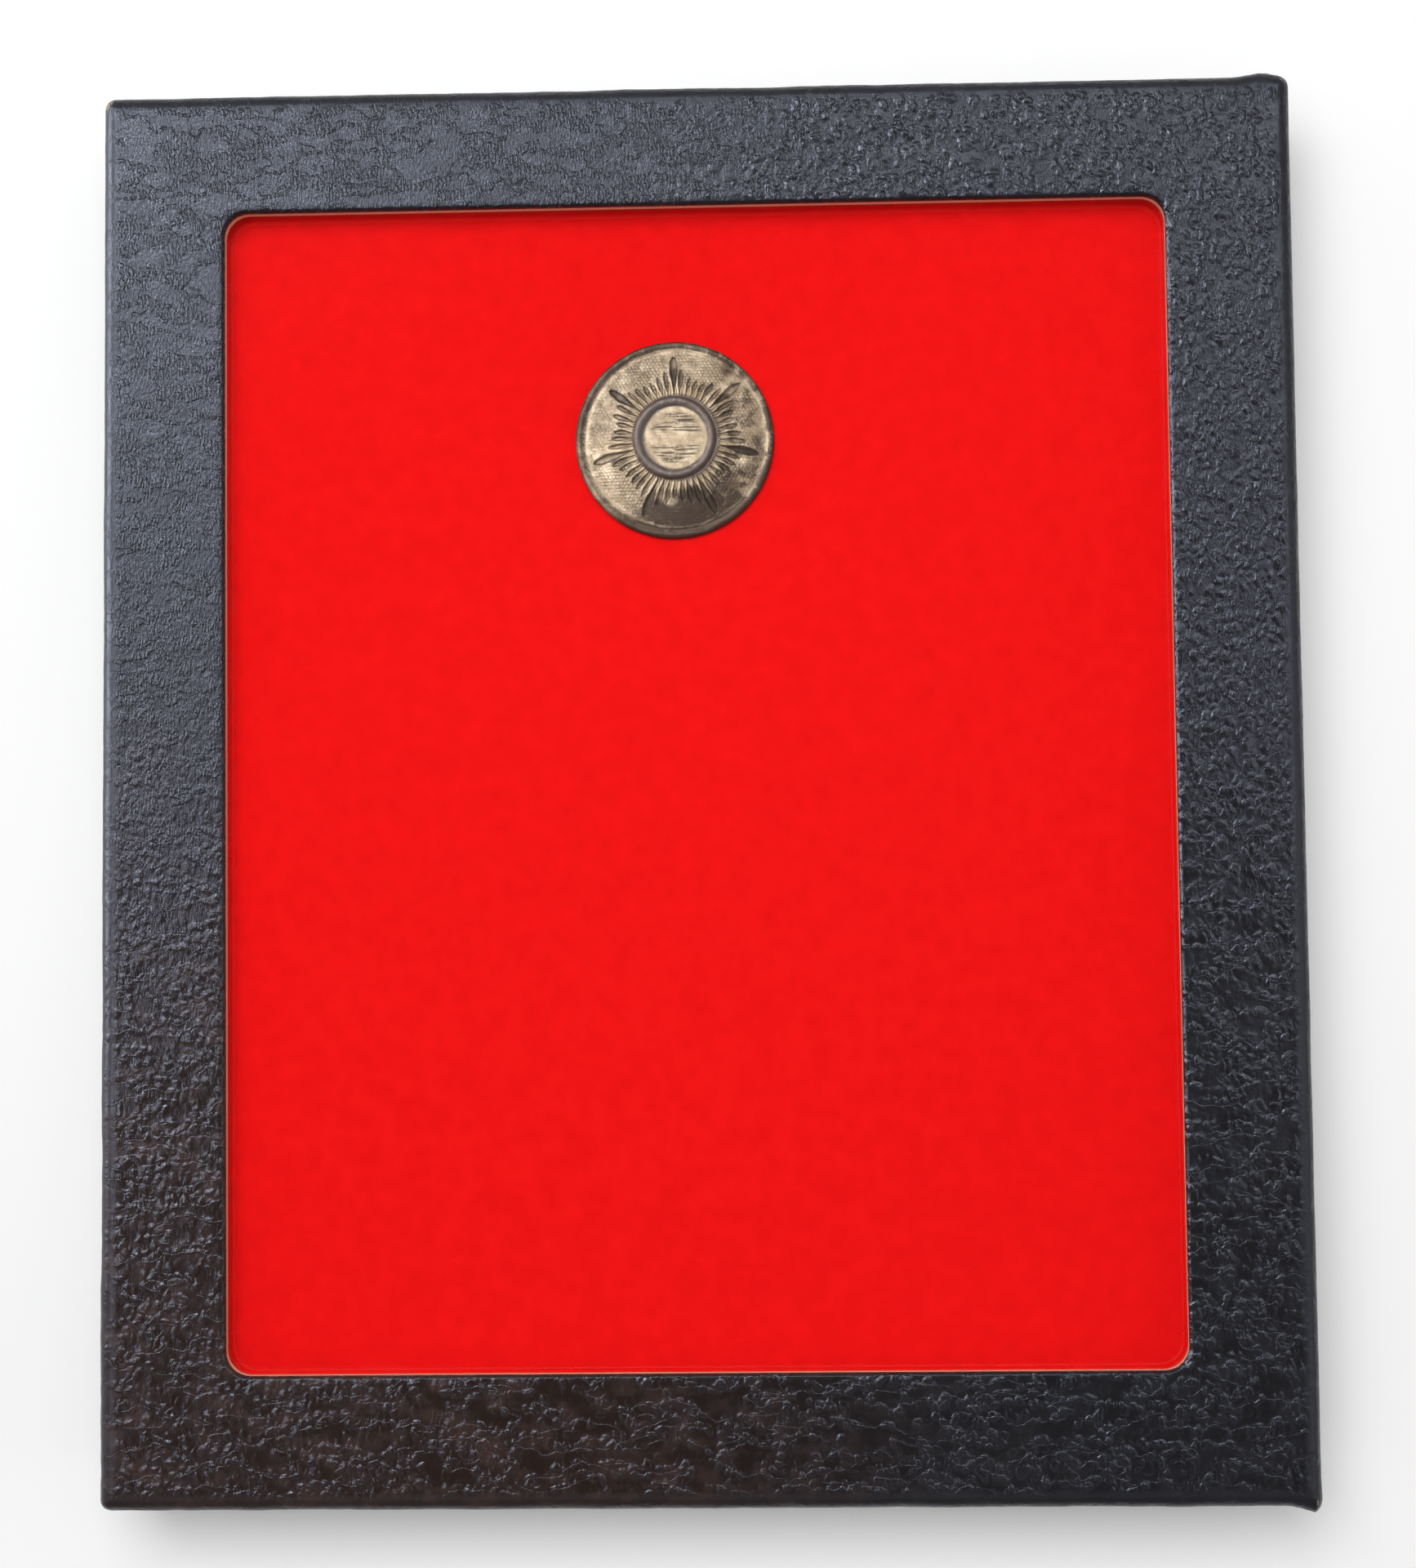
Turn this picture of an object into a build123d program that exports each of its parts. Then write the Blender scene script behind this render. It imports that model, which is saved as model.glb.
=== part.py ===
from build123d import *
import math
import os

os.makedirs("parts", exist_ok=True)

# Flat display case for collectables, lying on its back with the window facing +Z.
# A lid with a glazed window slides down over a shallow tray. The tray holds a fibre filling
# and a felt, which press the displayed button up towards the glass. Two side pins hold the lid.
# The origin is the middle of the underside. +X is the case's right, +Y its top edge.

# Overall size of the closed case over its covering
CASE_WIDTH = 139.7
CASE_LENGTH = 165.1
CASE_DEPTH = 19.05

# Sheet materials
BOARD_THICKNESS = 1.9
COVER_THICKNESS = 0.35
STAY_THICKNESS = 0.15
STRIP_THICKNESS = 0.4
BACKING_THICKNESS = 0.3
GLASS_THICKNESS = 2.0
FELT_THICKNESS = 1.0

# Window cut in the lid: widths of the four borders, corners and rolled edge
BORDER_LEFT = 14.2
BORDER_RIGHT = 14.5
BORDER_TOP = 13.8
BORDER_BOTTOM = 15.0
WINDOW_CORNER_RADIUS = 2.9
COVER_EDGE_ROLL = 0.65
BOARD_EDGE_BEVEL = 0.35

# Folds and turn-ins of the covering
CORNER_RADIUS = 1.3
FOLD_RADIUS = 1.2
LID_TURN_IN = 8.0
BASE_TURN_IN = 7.0
BASE_TURN_UNDER = 12.0
RIM_BEVEL = 0.25

# Clearances between lid, tray and glass
LID_RIM_HEIGHT = 0.8
LID_CLEARANCE = 0.5
GLASS_EDGE_GAP = 0.4
TRAY_TO_STRIP_GAP = 0.35
FELT_TO_STRIP_GAP = 0.35
FELT_EDGE_GAP = 0.4
FILLING_EDGE_GAP = 0.6

# Paper stays round the corners and gummed strips round the glass
STAY_REACH = 12.0
STRIP_WIDTH = 9.0
STRIP_TO_TURN_IN_GAP = 1.1
GLASS_SEAM = 0.25

# Fibre filling
FILLING_CORNER_RADIUS = 6.0
FILLING_EDGE_BEVEL = 2.0

# Displayed button, domed and stamped from sheet with a rolled rim and a sunburst
BUTTON_DIAMETER = 23.7
BUTTON_HEIGHT = 2.6
BUTTON_SHEET = 0.5
BUTTON_FROM_WINDOW_TOP = 27.0
BUTTON_OFF_CENTRE = -2.55
BUTTON_GLASS_GAP = 0.3
RIM_BEAD = 1.0
BEAD_BEVEL = 0.3
DOME_START = 0.85
RING_OUTER_RADIUS = 4.95
RING_INNER_RADIUS = 3.85
RING_BEVEL = 0.35
RING_RISE = 0.4
DISC_SINK = 0.3

# Sunburst: long leaf-shaped rays with shorter ones graded between them
LONG_RAYS = 7
LONG_RAY_WIDTH = 0.9
LONG_RAY_REACH = 10.1
SHORT_RAYS = 6
SHORT_RAY_WIDTH = 0.45
SHORT_RAY_REACH = 7.9
SHORT_RAY_STEP = 0.45
RAY_START_GAP = 0.45
RAY_DEPTH = 0.28
RAY_CUTTER_RISE = 0.1
FIRST_RAY_ANGLE = 92.0

# Loop on the button's back
SHANK_WIRE = 1.3
SHANK_SPAN = 3.4
SHANK_DROP = 6.0
SHANK_FOOT_RADIUS = 2.9
SHANK_FOOT_THICKNESS = 0.35
SHANK_HOLE_GAP = 0.4

# Hollow that the button presses into the felt
DISH_FLOOR_MARGIN = 1.0
DISH_SLOPE_LENGTH = 17.0

# Side pins
PIN_DIAMETER = 0.7
PIN_LENGTH = 14.0
PIN_POINT = 1.6
PIN_HEAD_DIAMETER = 1.8
PIN_HEAD_FLAT = 1.1
PIN_HEAD_THICKNESS = 0.4
PIN_HEIGHT = 7.5
PIN_HOLE_CLEARANCE = 0.05
PIN_SLOT_CLEARANCE = 0.2

# Sizes that follow for the lid
lid_board_width = CASE_WIDTH - 2 * COVER_THICKNESS
lid_board_length = CASE_LENGTH - 2 * COVER_THICKNESS
lid_board_top = CASE_DEPTH - COVER_THICKNESS
lid_board_rim = LID_RIM_HEIGHT + COVER_THICKNESS
lid_cavity_width = lid_board_width - 2 * BOARD_THICKNESS
lid_cavity_length = lid_board_length - 2 * BOARD_THICKNESS
lid_inside_width = lid_cavity_width - 2 * COVER_THICKNESS
lid_inside_length = lid_cavity_length - 2 * COVER_THICKNESS
board_corner_radius = CORNER_RADIUS - COVER_THICKNESS

# Bevel of the board's creases that keeps the covering's thickness at the middle of the rounded fold
board_crease = (2 - 2**0.5) * (FOLD_RADIUS - COVER_THICKNESS)

# Window
window_width = CASE_WIDTH - BORDER_LEFT - BORDER_RIGHT
window_length = CASE_LENGTH - BORDER_TOP - BORDER_BOTTOM
window_x = (BORDER_LEFT - BORDER_RIGHT) / 2
window_y = (BORDER_BOTTOM - BORDER_TOP) / 2

# Glass and the strips under its rim
glass_top = lid_board_top - BOARD_THICKNESS
glass_bottom = glass_top - GLASS_THICKNESS
glass_width = lid_cavity_width - 2 * GLASS_EDGE_GAP
glass_length = lid_cavity_length - 2 * GLASS_EDGE_GAP
strip_bottom = glass_bottom - STRIP_THICKNESS
strip_drop = strip_bottom - LID_RIM_HEIGHT - LID_TURN_IN - STRIP_TO_TURN_IN_GAP

# Tray
base_width = lid_inside_width - 2 * LID_CLEARANCE
base_length = lid_inside_length - 2 * LID_CLEARANCE
base_top = strip_bottom - TRAY_TO_STRIP_GAP
base_board_width = base_width - 2 * COVER_THICKNESS
base_board_length = base_length - 2 * COVER_THICKNESS
base_board_bottom = BACKING_THICKNESS + COVER_THICKNESS
base_board_top = base_top - COVER_THICKNESS
base_floor_top = base_board_bottom + BOARD_THICKNESS
base_cavity_width = base_board_width - 2 * BOARD_THICKNESS
base_cavity_length = base_board_length - 2 * BOARD_THICKNESS
base_inside_width = base_cavity_width - 2 * COVER_THICKNESS
base_inside_length = base_cavity_length - 2 * COVER_THICKNESS

# Felt and filling
felt_top = strip_bottom - FELT_TO_STRIP_GAP
felt_bottom = felt_top - FELT_THICKNESS
felt_width = base_inside_width - 2 * FELT_EDGE_GAP
felt_length = base_inside_length - 2 * FELT_EDGE_GAP
filling_width = base_inside_width - 2 * FILLING_EDGE_GAP
filling_length = base_inside_length - 2 * FILLING_EDGE_GAP

# Button
button_radius = BUTTON_DIAMETER / 2
button_x = window_x + BUTTON_OFF_CENTRE
button_y = window_y + window_length / 2 - BUTTON_FROM_WINDOW_TOP
button_z = glass_bottom - BUTTON_GLASS_GAP - BUTTON_HEIGHT
button_plane = Plane((button_x, button_y, button_z))
button_section = Plane((button_x, button_y, button_z), x_dir=(1, 0, 0), z_dir=(0, -1, 0))
button_axis = Axis((button_x, button_y, button_z), (0, 0, 1))
dome_apex = BUTTON_HEIGHT - RING_RISE + DISC_SINK / 2
disc_height = BUTTON_HEIGHT - DISC_SINK
dome_edge = button_radius - RIM_BEAD
dome_rise = dome_apex - DOME_START
dome_sphere = (dome_edge**2 + dome_rise**2) / (2 * dome_rise)


def dome_height(radius: float, drop: float = 0.0) -> float:
    """Height above the rim's underside of the domed field at this radius, lowered by drop."""
    return dome_apex - dome_sphere + math.sqrt(dome_sphere**2 - radius**2) - drop


# Pins
pin_radius = PIN_DIAMETER / 2
pin_tip_x = CASE_WIDTH / 2 - PIN_LENGTH

# The lid's board before its inside is cut out: folded edges, window and rolled window edge
with BuildPart() as lid_block:
    with BuildSketch(Plane.XY.offset(lid_board_rim)):
        RectangleRounded(lid_board_width, lid_board_length, board_corner_radius)
    extrude(amount=lid_board_top - lid_board_rim)
    chamfer(lid_block.faces().sort_by(Axis.Z)[-1].edges(), board_crease)
    with BuildSketch(Plane.XY.offset(lid_board_rim)):
        with Locations((window_x, window_y)):
            RectangleRounded(window_width, window_length, WINDOW_CORNER_RADIUS)
    extrude(amount=lid_board_top - lid_board_rim, mode=Mode.SUBTRACT)
    chamfer(lid_block.faces().sort_by(Axis.Z)[-1].inner_wires()[0].edges(), BOARD_EDGE_BEVEL)

# Lid board: one scored blank, folded to a shallow box open underneath
with BuildPart() as lid_board:
    add(lid_block.part)
    with BuildSketch(Plane.XY.offset(lid_board_rim)):
        Rectangle(lid_cavity_width, lid_cavity_length)
    extrude(amount=glass_top - lid_board_rim, mode=Mode.SUBTRACT)
    with Locations((0, 0, PIN_HEIGHT)):
        Cylinder(pin_radius + PIN_HOLE_CLEARANCE, CASE_WIDTH, rotation=(0, 90, 0), mode=Mode.SUBTRACT)
lid_board.part.label = "lid_board"
export_step(lid_board.part, "parts/lid_board.step")

# Corner stays: paper bent round each corner of lid and tray, under the covering
corners = {
    "front_left": (-1, -1),
    "front_right": (1, -1),
    "back_left": (-1, 1),
    "back_right": (1, 1),
}


def build_stay(width: float, length: float, low: float, high: float, side: tuple) -> BuildPart:
    """Paper stay round one vertical corner of a board box of this width and length."""
    with BuildPart() as stay:
        with BuildSketch(Plane.XY.offset(low)):
            RectangleRounded(
                width + 2 * STAY_THICKNESS,
                length + 2 * STAY_THICKNESS,
                board_corner_radius + STAY_THICKNESS,
            )
            RectangleRounded(width, length, board_corner_radius, mode=Mode.SUBTRACT)
            with Locations((side[0] * width / 2, side[1] * length / 2)):
                Rectangle(2 * STAY_REACH, 2 * STAY_REACH, mode=Mode.INTERSECT)
        extrude(amount=high - low)
    return stay


lid_stay_top = lid_board_top - FOLD_RADIUS
base_stay_bottom = base_board_bottom + FOLD_RADIUS
lid_stays = {}
base_stays = {}
for corner, side in corners.items():
    lid_stays[corner] = build_stay(lid_board_width, lid_board_length, lid_board_rim, lid_stay_top, side)
    lid_stays[corner].part.label = f"lid_stay_{corner}"
    export_step(lid_stays[corner].part, f"parts/lid_stay_{corner}.step")
    base_stays[corner] = build_stay(
        base_board_width, base_board_length, base_stay_bottom, base_board_top, side
    )
    base_stays[corner].part.label = f"base_stay_{corner}"
    export_step(base_stays[corner].part, f"parts/base_stay_{corner}.step")

# Lid covering: one sheet over the top and sides, turned in round the rim and cut at the window
with BuildPart() as lid_covering:
    with BuildSketch(Plane.XY.offset(LID_RIM_HEIGHT)):
        RectangleRounded(CASE_WIDTH, CASE_LENGTH, CORNER_RADIUS)
    extrude(amount=CASE_DEPTH - LID_RIM_HEIGHT)
    fillet(lid_covering.faces().sort_by(Axis.Z)[-1].edges(), FOLD_RADIUS)
    chamfer(lid_covering.faces().sort_by(Axis.Z)[0].edges(), RIM_BEVEL)
    add(lid_block.part, mode=Mode.SUBTRACT)
    with BuildSketch(Plane.XY.offset(LID_RIM_HEIGHT)):
        with Locations((window_x, window_y)):
            RectangleRounded(window_width, window_length, WINDOW_CORNER_RADIUS)
    extrude(amount=CASE_DEPTH - LID_RIM_HEIGHT, mode=Mode.SUBTRACT)
    with BuildSketch(Plane.XY.offset(LID_RIM_HEIGHT)):
        Rectangle(lid_cavity_width, lid_cavity_length)
    extrude(amount=lid_board_rim - LID_RIM_HEIGHT, mode=Mode.SUBTRACT)
    with BuildSketch(Plane.XY.offset(LID_RIM_HEIGHT)):
        Rectangle(lid_cavity_width, lid_cavity_length)
        Rectangle(lid_inside_width, lid_inside_length, mode=Mode.SUBTRACT)
    extrude(amount=LID_TURN_IN)
    fillet(lid_covering.faces().sort_by(Axis.Z)[-1].inner_wires()[0].edges(), COVER_EDGE_ROLL)
    for stay in lid_stays.values():
        add(stay.part, mode=Mode.SUBTRACT)
    with Locations((0, 0, PIN_HEIGHT)):
        Cylinder(pin_radius + PIN_HOLE_CLEARANCE, CASE_WIDTH, rotation=(0, 90, 0), mode=Mode.SUBTRACT)
lid_covering.part.label = "lid_covering"
export_step(lid_covering.part, "parts/lid_covering.step")

# Glass pane under the lid board, its cut edges seamed
with BuildPart() as glass_pane:
    with BuildSketch(Plane.XY.offset(glass_bottom)):
        Rectangle(glass_width, glass_length)
    extrude(amount=GLASS_THICKNESS)
    chamfer(glass_pane.edges(), GLASS_SEAM)
glass_pane.part.label = "glass_pane"
export_step(glass_pane.part, "parts/glass_pane.step")


# Gummed paper strips that hold the glass: one leg under its rim, one down the lid's wall
def build_strip(run: float, reach: float, outward: tuple) -> BuildPart:
    """Strip of length run against the wall that lies at distance reach along outward."""
    along = Vector(outward[1], -outward[0], 0)
    with BuildPart() as strip:
        with BuildSketch(Plane(along * (-run / 2), x_dir=(*outward, 0), z_dir=along)):
            with Locations((reach, strip_bottom)):
                Rectangle(STRIP_WIDTH, STRIP_THICKNESS, align=(Align.MAX, Align.MIN))
                Rectangle(STRIP_THICKNESS, strip_drop, align=(Align.MAX, Align.MAX))
        extrude(amount=run)
    return strip


side_strip_run = lid_cavity_length - 2 * STRIP_WIDTH
strips = {
    "right": (side_strip_run, lid_cavity_width / 2, (1, 0)),
    "left": (side_strip_run, lid_cavity_width / 2, (-1, 0)),
    "back": (lid_cavity_width, lid_cavity_length / 2, (0, 1)),
    "front": (lid_cavity_width, lid_cavity_length / 2, (0, -1)),
}
for side, (run, reach, outward) in strips.items():
    strip = build_strip(run, reach, outward)
    strip.part.label = f"glass_strip_{side}"
    export_step(strip.part, f"parts/glass_strip_{side}.step")

# Slots that let the pins leave the tray upwards when the lid is lifted with its pins in
with BuildPart() as pin_slots:
    with BuildSketch(Plane.YZ.offset(pin_tip_x - PIN_SLOT_CLEARANCE)):
        with Locations((0, PIN_HEIGHT)):
            Circle(pin_radius + PIN_SLOT_CLEARANCE)
            Rectangle(
                PIN_DIAMETER + 2 * PIN_SLOT_CLEARANCE,
                CASE_DEPTH - PIN_HEIGHT,
                align=(Align.CENTER, Align.MIN),
            )
    extrude(amount=PIN_LENGTH)
    mirror(about=Plane.YZ)

# The tray's board before its inside is cut out
with BuildPart() as base_block:
    with BuildSketch(Plane.XY.offset(base_board_bottom)):
        RectangleRounded(base_board_width, base_board_length, board_corner_radius)
    extrude(amount=base_board_top - base_board_bottom)
    chamfer(base_block.faces().sort_by(Axis.Z)[0].edges(), board_crease)

# Tray board: floor and four low walls
with BuildPart() as base_board:
    add(base_block.part)
    with BuildSketch(Plane.XY.offset(base_floor_top)):
        Rectangle(base_cavity_width, base_cavity_length)
    extrude(amount=base_board_top - base_floor_top, mode=Mode.SUBTRACT)
    add(pin_slots.part, mode=Mode.SUBTRACT)
base_board.part.label = "base_board"
export_step(base_board.part, "parts/base_board.step")

# Tray covering: over the walls, turned in at the top and turned under the floor's edge
with BuildPart() as base_covering:
    with BuildSketch(Plane.XY.offset(BACKING_THICKNESS)):
        RectangleRounded(base_width, base_length, CORNER_RADIUS)
    extrude(amount=base_top - BACKING_THICKNESS)
    fillet(base_covering.faces().sort_by(Axis.Z)[0].edges(), FOLD_RADIUS)
    chamfer(base_covering.faces().sort_by(Axis.Z)[-1].edges(), RIM_BEVEL)
    add(base_block.part, mode=Mode.SUBTRACT)
    with BuildSketch(Plane.XY.offset(BACKING_THICKNESS)):
        Rectangle(base_width - 2 * BASE_TURN_UNDER, base_length - 2 * BASE_TURN_UNDER)
    extrude(amount=COVER_THICKNESS, mode=Mode.SUBTRACT)
    with BuildSketch(Plane.XY.offset(base_board_top)):
        Rectangle(base_cavity_width, base_cavity_length)
    extrude(amount=COVER_THICKNESS, mode=Mode.SUBTRACT)
    with BuildSketch(Plane.XY.offset(base_top - BASE_TURN_IN)):
        Rectangle(base_cavity_width, base_cavity_length)
        Rectangle(base_inside_width, base_inside_length, mode=Mode.SUBTRACT)
    extrude(amount=BASE_TURN_IN)
    for stay in base_stays.values():
        add(stay.part, mode=Mode.SUBTRACT)
    add(pin_slots.part, mode=Mode.SUBTRACT)
base_covering.part.label = "base_covering"
export_step(base_covering.part, "parts/base_covering.step")

# Backing sheet on the underside, pressed down over the turned-under covering
with BuildPart() as backing_sheet:
    with BuildSketch(Plane.XY):
        Rectangle(base_width - 2 * FOLD_RADIUS, base_length - 2 * FOLD_RADIUS)
    extrude(amount=BACKING_THICKNESS)
    with BuildSketch(Plane.XY.offset(BACKING_THICKNESS)):
        Rectangle(base_width - 2 * BASE_TURN_UNDER, base_length - 2 * BASE_TURN_UNDER)
    extrude(amount=COVER_THICKNESS)
backing_sheet.part.label = "backing_sheet"
export_step(backing_sheet.part, "parts/backing_sheet.step")

# Hollow under the button: a flat floor as wide as the rim, then a slope up to the flat felt
dish_floor_radius = button_radius + DISH_FLOOR_MARGIN
dish_rim_radius = dish_floor_radius + DISH_SLOPE_LENGTH
far_radius = CASE_WIDTH + CASE_LENGTH
felt_rise = felt_top - button_z


def dish_line(drop: float) -> None:
    """Lines of the felt's upper surface in the button's section, lowered by drop."""
    Line((0, -drop), (dish_floor_radius, -drop))
    Line((dish_floor_radius, -drop), (dish_rim_radius, felt_rise - drop))
    Line((dish_rim_radius, felt_rise - drop), (far_radius, felt_rise - drop))


# Hole for the button's loop through felt and filling
with BuildPart() as shank_hole:
    with BuildSketch(button_plane.offset(-SHANK_DROP - SHANK_HOLE_GAP)):
        Rectangle(SHANK_SPAN + 2 * (SHANK_WIRE + SHANK_HOLE_GAP), SHANK_WIRE + 2 * SHANK_HOLE_GAP)
    extrude(amount=SHANK_DROP + SHANK_HOLE_GAP + BUTTON_HEIGHT)

# Felt: pressed flat by the filling, hollowed where the button sits
with BuildPart() as felt_sheet:
    with BuildSketch(button_section):
        with BuildLine():
            dish_line(0)
            dish_line(FELT_THICKNESS)
            Line((0, -FELT_THICKNESS), (0, 0))
            Line((far_radius, felt_rise - FELT_THICKNESS), (far_radius, felt_rise))
        make_face()
    revolve(axis=button_axis)
    with BuildSketch(Plane.XY):
        Rectangle(felt_width, felt_length)
    extrude(amount=CASE_DEPTH, mode=Mode.INTERSECT)
    add(shank_hole.part, mode=Mode.SUBTRACT)
    add(pin_slots.part, mode=Mode.SUBTRACT)
felt_sheet.part.label = "felt_sheet"
export_step(felt_sheet.part, "parts/felt_sheet.step")

# Fibre filling: a soft pad on the tray's floor, hollowed with the felt
with BuildPart() as fibre_filling:
    with BuildSketch(Plane.XY.offset(base_floor_top)):
        RectangleRounded(filling_width, filling_length, FILLING_CORNER_RADIUS)
    extrude(amount=felt_top - base_floor_top)
    chamfer(fibre_filling.faces().sort_by(Axis.Z)[0].edges(), FILLING_EDGE_BEVEL)
    with BuildSketch(button_section):
        with BuildLine():
            dish_line(FELT_THICKNESS)
            Line((far_radius, felt_rise - FELT_THICKNESS), (far_radius, CASE_DEPTH))
            Line((far_radius, CASE_DEPTH), (0, CASE_DEPTH))
            Line((0, CASE_DEPTH), (0, -FELT_THICKNESS))
        make_face()
    revolve(axis=button_axis, mode=Mode.SUBTRACT)
    add(shank_hole.part, mode=Mode.SUBTRACT)
    add(pin_slots.part, mode=Mode.SUBTRACT)
fibre_filling.part.label = "fibre_filling"
export_step(fibre_filling.part, "parts/fibre_filling.step")


# One sector of the sunburst: a long leaf-shaped ray and the shorter ones beside it
ray_start = RING_OUTER_RADIUS + RAY_START_GAP
short_ray_pitch = 360 / LONG_RAYS / (SHORT_RAYS + 1)
rays = [(LONG_RAY_REACH, LONG_RAY_WIDTH, 0.0)]
for number in range(1, SHORT_RAYS + 1):
    steps_in = min(number, SHORT_RAYS + 1 - number) - 1
    rays.append((SHORT_RAY_REACH - SHORT_RAY_STEP * steps_in, SHORT_RAY_WIDTH, number * short_ray_pitch))


def ray_plane(reach: float, turn: float) -> Plane:
    """Plane touching the dome at the middle of a ray that ends at reach, X along the ray."""
    middle = (ray_start + reach) / 2
    slope = math.asin(middle / dome_sphere)
    along = Vector(1, 0, 0).rotate(Axis.Z, turn)
    up = Vector(0, 0, 1)
    return Plane(
        along * middle + up * dome_height(middle),
        x_dir=along * math.cos(slope) - up * math.sin(slope),
        z_dir=along * math.sin(slope) + up * math.cos(slope),
    )


def build_ray(length: float, width: float) -> BuildPart:
    """Cutter for one ray along X: two V cuts, each rising towards one end, where they meet."""
    spread = width / RAY_DEPTH / 2
    half_mouth = spread * (2 * RAY_DEPTH + RAY_CUTTER_RISE)
    with BuildPart() as ray:
        with BuildSketch(Plane.YZ.offset(-length / 2)):
            Polygon(
                (0, -2 * RAY_DEPTH),
                (half_mouth, RAY_CUTTER_RISE),
                (-half_mouth, RAY_CUTTER_RISE),
                align=None,
            )
        extrude(amount=math.hypot(length, 2 * RAY_DEPTH), dir=(length, 0, 2 * RAY_DEPTH))
        mirror(about=Plane.YZ, mode=Mode.INTERSECT)
    return ray


with BuildPart() as ray_sector:
    for reach, width, turn in rays:
        with Locations(ray_plane(reach, turn)):
            add(build_ray(reach - ray_start, width).part)

# Button face: sheet metal stamped to a dome, with a rolled rim, a raised ring and a flat disc
ring_foot = dome_height(RING_OUTER_RADIUS)
dome_middle = (RING_OUTER_RADIUS + dome_edge) / 2
inner_edge = dome_edge - BUTTON_SHEET
inner_shoulder = RING_INNER_RADIUS - BUTTON_SHEET
foot_height = disc_height - BUTTON_SHEET
with BuildPart() as button_face:
    with BuildSketch(button_section):
        with BuildLine():
            Polyline(
                (0, disc_height),
                (RING_INNER_RADIUS, disc_height),
                (RING_INNER_RADIUS + RING_BEVEL, BUTTON_HEIGHT),
                (RING_OUTER_RADIUS - RING_BEVEL, BUTTON_HEIGHT),
                (RING_OUTER_RADIUS, ring_foot),
            )
            ThreePointArc(
                (RING_OUTER_RADIUS, ring_foot),
                (dome_middle, dome_height(dome_middle)),
                (dome_edge, DOME_START),
            )
            Polyline(
                (dome_edge, DOME_START),
                (button_radius - BEAD_BEVEL, RIM_BEAD),
                (button_radius, RIM_BEAD - BEAD_BEVEL),
                (button_radius, BEAD_BEVEL),
                (button_radius - BEAD_BEVEL, 0),
                (dome_edge, 0),
                (inner_edge, DOME_START - BUTTON_SHEET),
                (inner_shoulder, foot_height),
                (0, foot_height),
                (0, disc_height),
            )
        make_face()
    revolve(axis=button_axis)
    with Locations(button_plane):
        with PolarLocations(0, LONG_RAYS, start_angle=FIRST_RAY_ANGLE):
            add(ray_sector.part, mode=Mode.SUBTRACT)
button_face.part.label = "button_face"
export_step(button_face.part, "parts/button_face.step")

# Button shank: a loop on a soldered foot
loop_radius = SHANK_SPAN / 2 + SHANK_WIRE
loop_centre = loop_radius - SHANK_DROP
shank_foot_bottom = foot_height - SHANK_FOOT_THICKNESS
with BuildPart() as button_shank:
    with BuildSketch(button_section):
        with Locations((0, loop_centre)):
            Circle(loop_radius)
            Rectangle(2 * loop_radius, shank_foot_bottom - loop_centre, align=(Align.CENTER, Align.MIN))
            Circle(SHANK_SPAN / 2, mode=Mode.SUBTRACT)
            Rectangle(
                SHANK_SPAN,
                shank_foot_bottom - loop_centre,
                align=(Align.CENTER, Align.MIN),
                mode=Mode.SUBTRACT,
            )
    extrude(amount=SHANK_WIRE / 2, both=True)
    with BuildSketch(button_plane.offset(shank_foot_bottom)):
        Circle(SHANK_FOOT_RADIUS)
    extrude(amount=SHANK_FOOT_THICKNESS)
button_shank.part.label = "button_shank"
export_step(button_shank.part, "parts/button_shank.step")

# Side pins: a turned-over head, a plain shaft and a point, pushed in through lid and tray
for side, name in ((-1, "left_pin"), (1, "right_pin")):
    pin_section = Plane((side * CASE_WIDTH / 2, 0, PIN_HEIGHT), x_dir=(side, 0, 0), z_dir=(0, -side, 0))
    with BuildPart() as pin:
        with BuildSketch(pin_section):
            with BuildLine():
                Line((-PIN_LENGTH, 0), (PIN_HEAD_THICKNESS, 0))
                Line((PIN_HEAD_THICKNESS, 0), (PIN_HEAD_THICKNESS, PIN_HEAD_FLAT / 2))
                Line((PIN_HEAD_THICKNESS, PIN_HEAD_FLAT / 2), (0, PIN_HEAD_DIAMETER / 2))
                Line((0, PIN_HEAD_DIAMETER / 2), (0, pin_radius))
                Line((0, pin_radius), (PIN_POINT - PIN_LENGTH, pin_radius))
                Line((PIN_POINT - PIN_LENGTH, pin_radius), (-PIN_LENGTH, 0))
            make_face()
        revolve(axis=Axis((0, 0, PIN_HEIGHT), (1, 0, 0)))
    pin.part.label = name
    export_step(pin.part, f"parts/{name}.step")
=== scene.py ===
import logging
import math
from collections.abc import Callable, Iterator
from contextlib import contextmanager
from dataclasses import dataclass, field
from enum import Enum

import bmesh
import bpy
import numpy as np
from bpy.types import Material, Node, NodeSocket, NodeTree, Object
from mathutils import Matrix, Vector, noise


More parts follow.
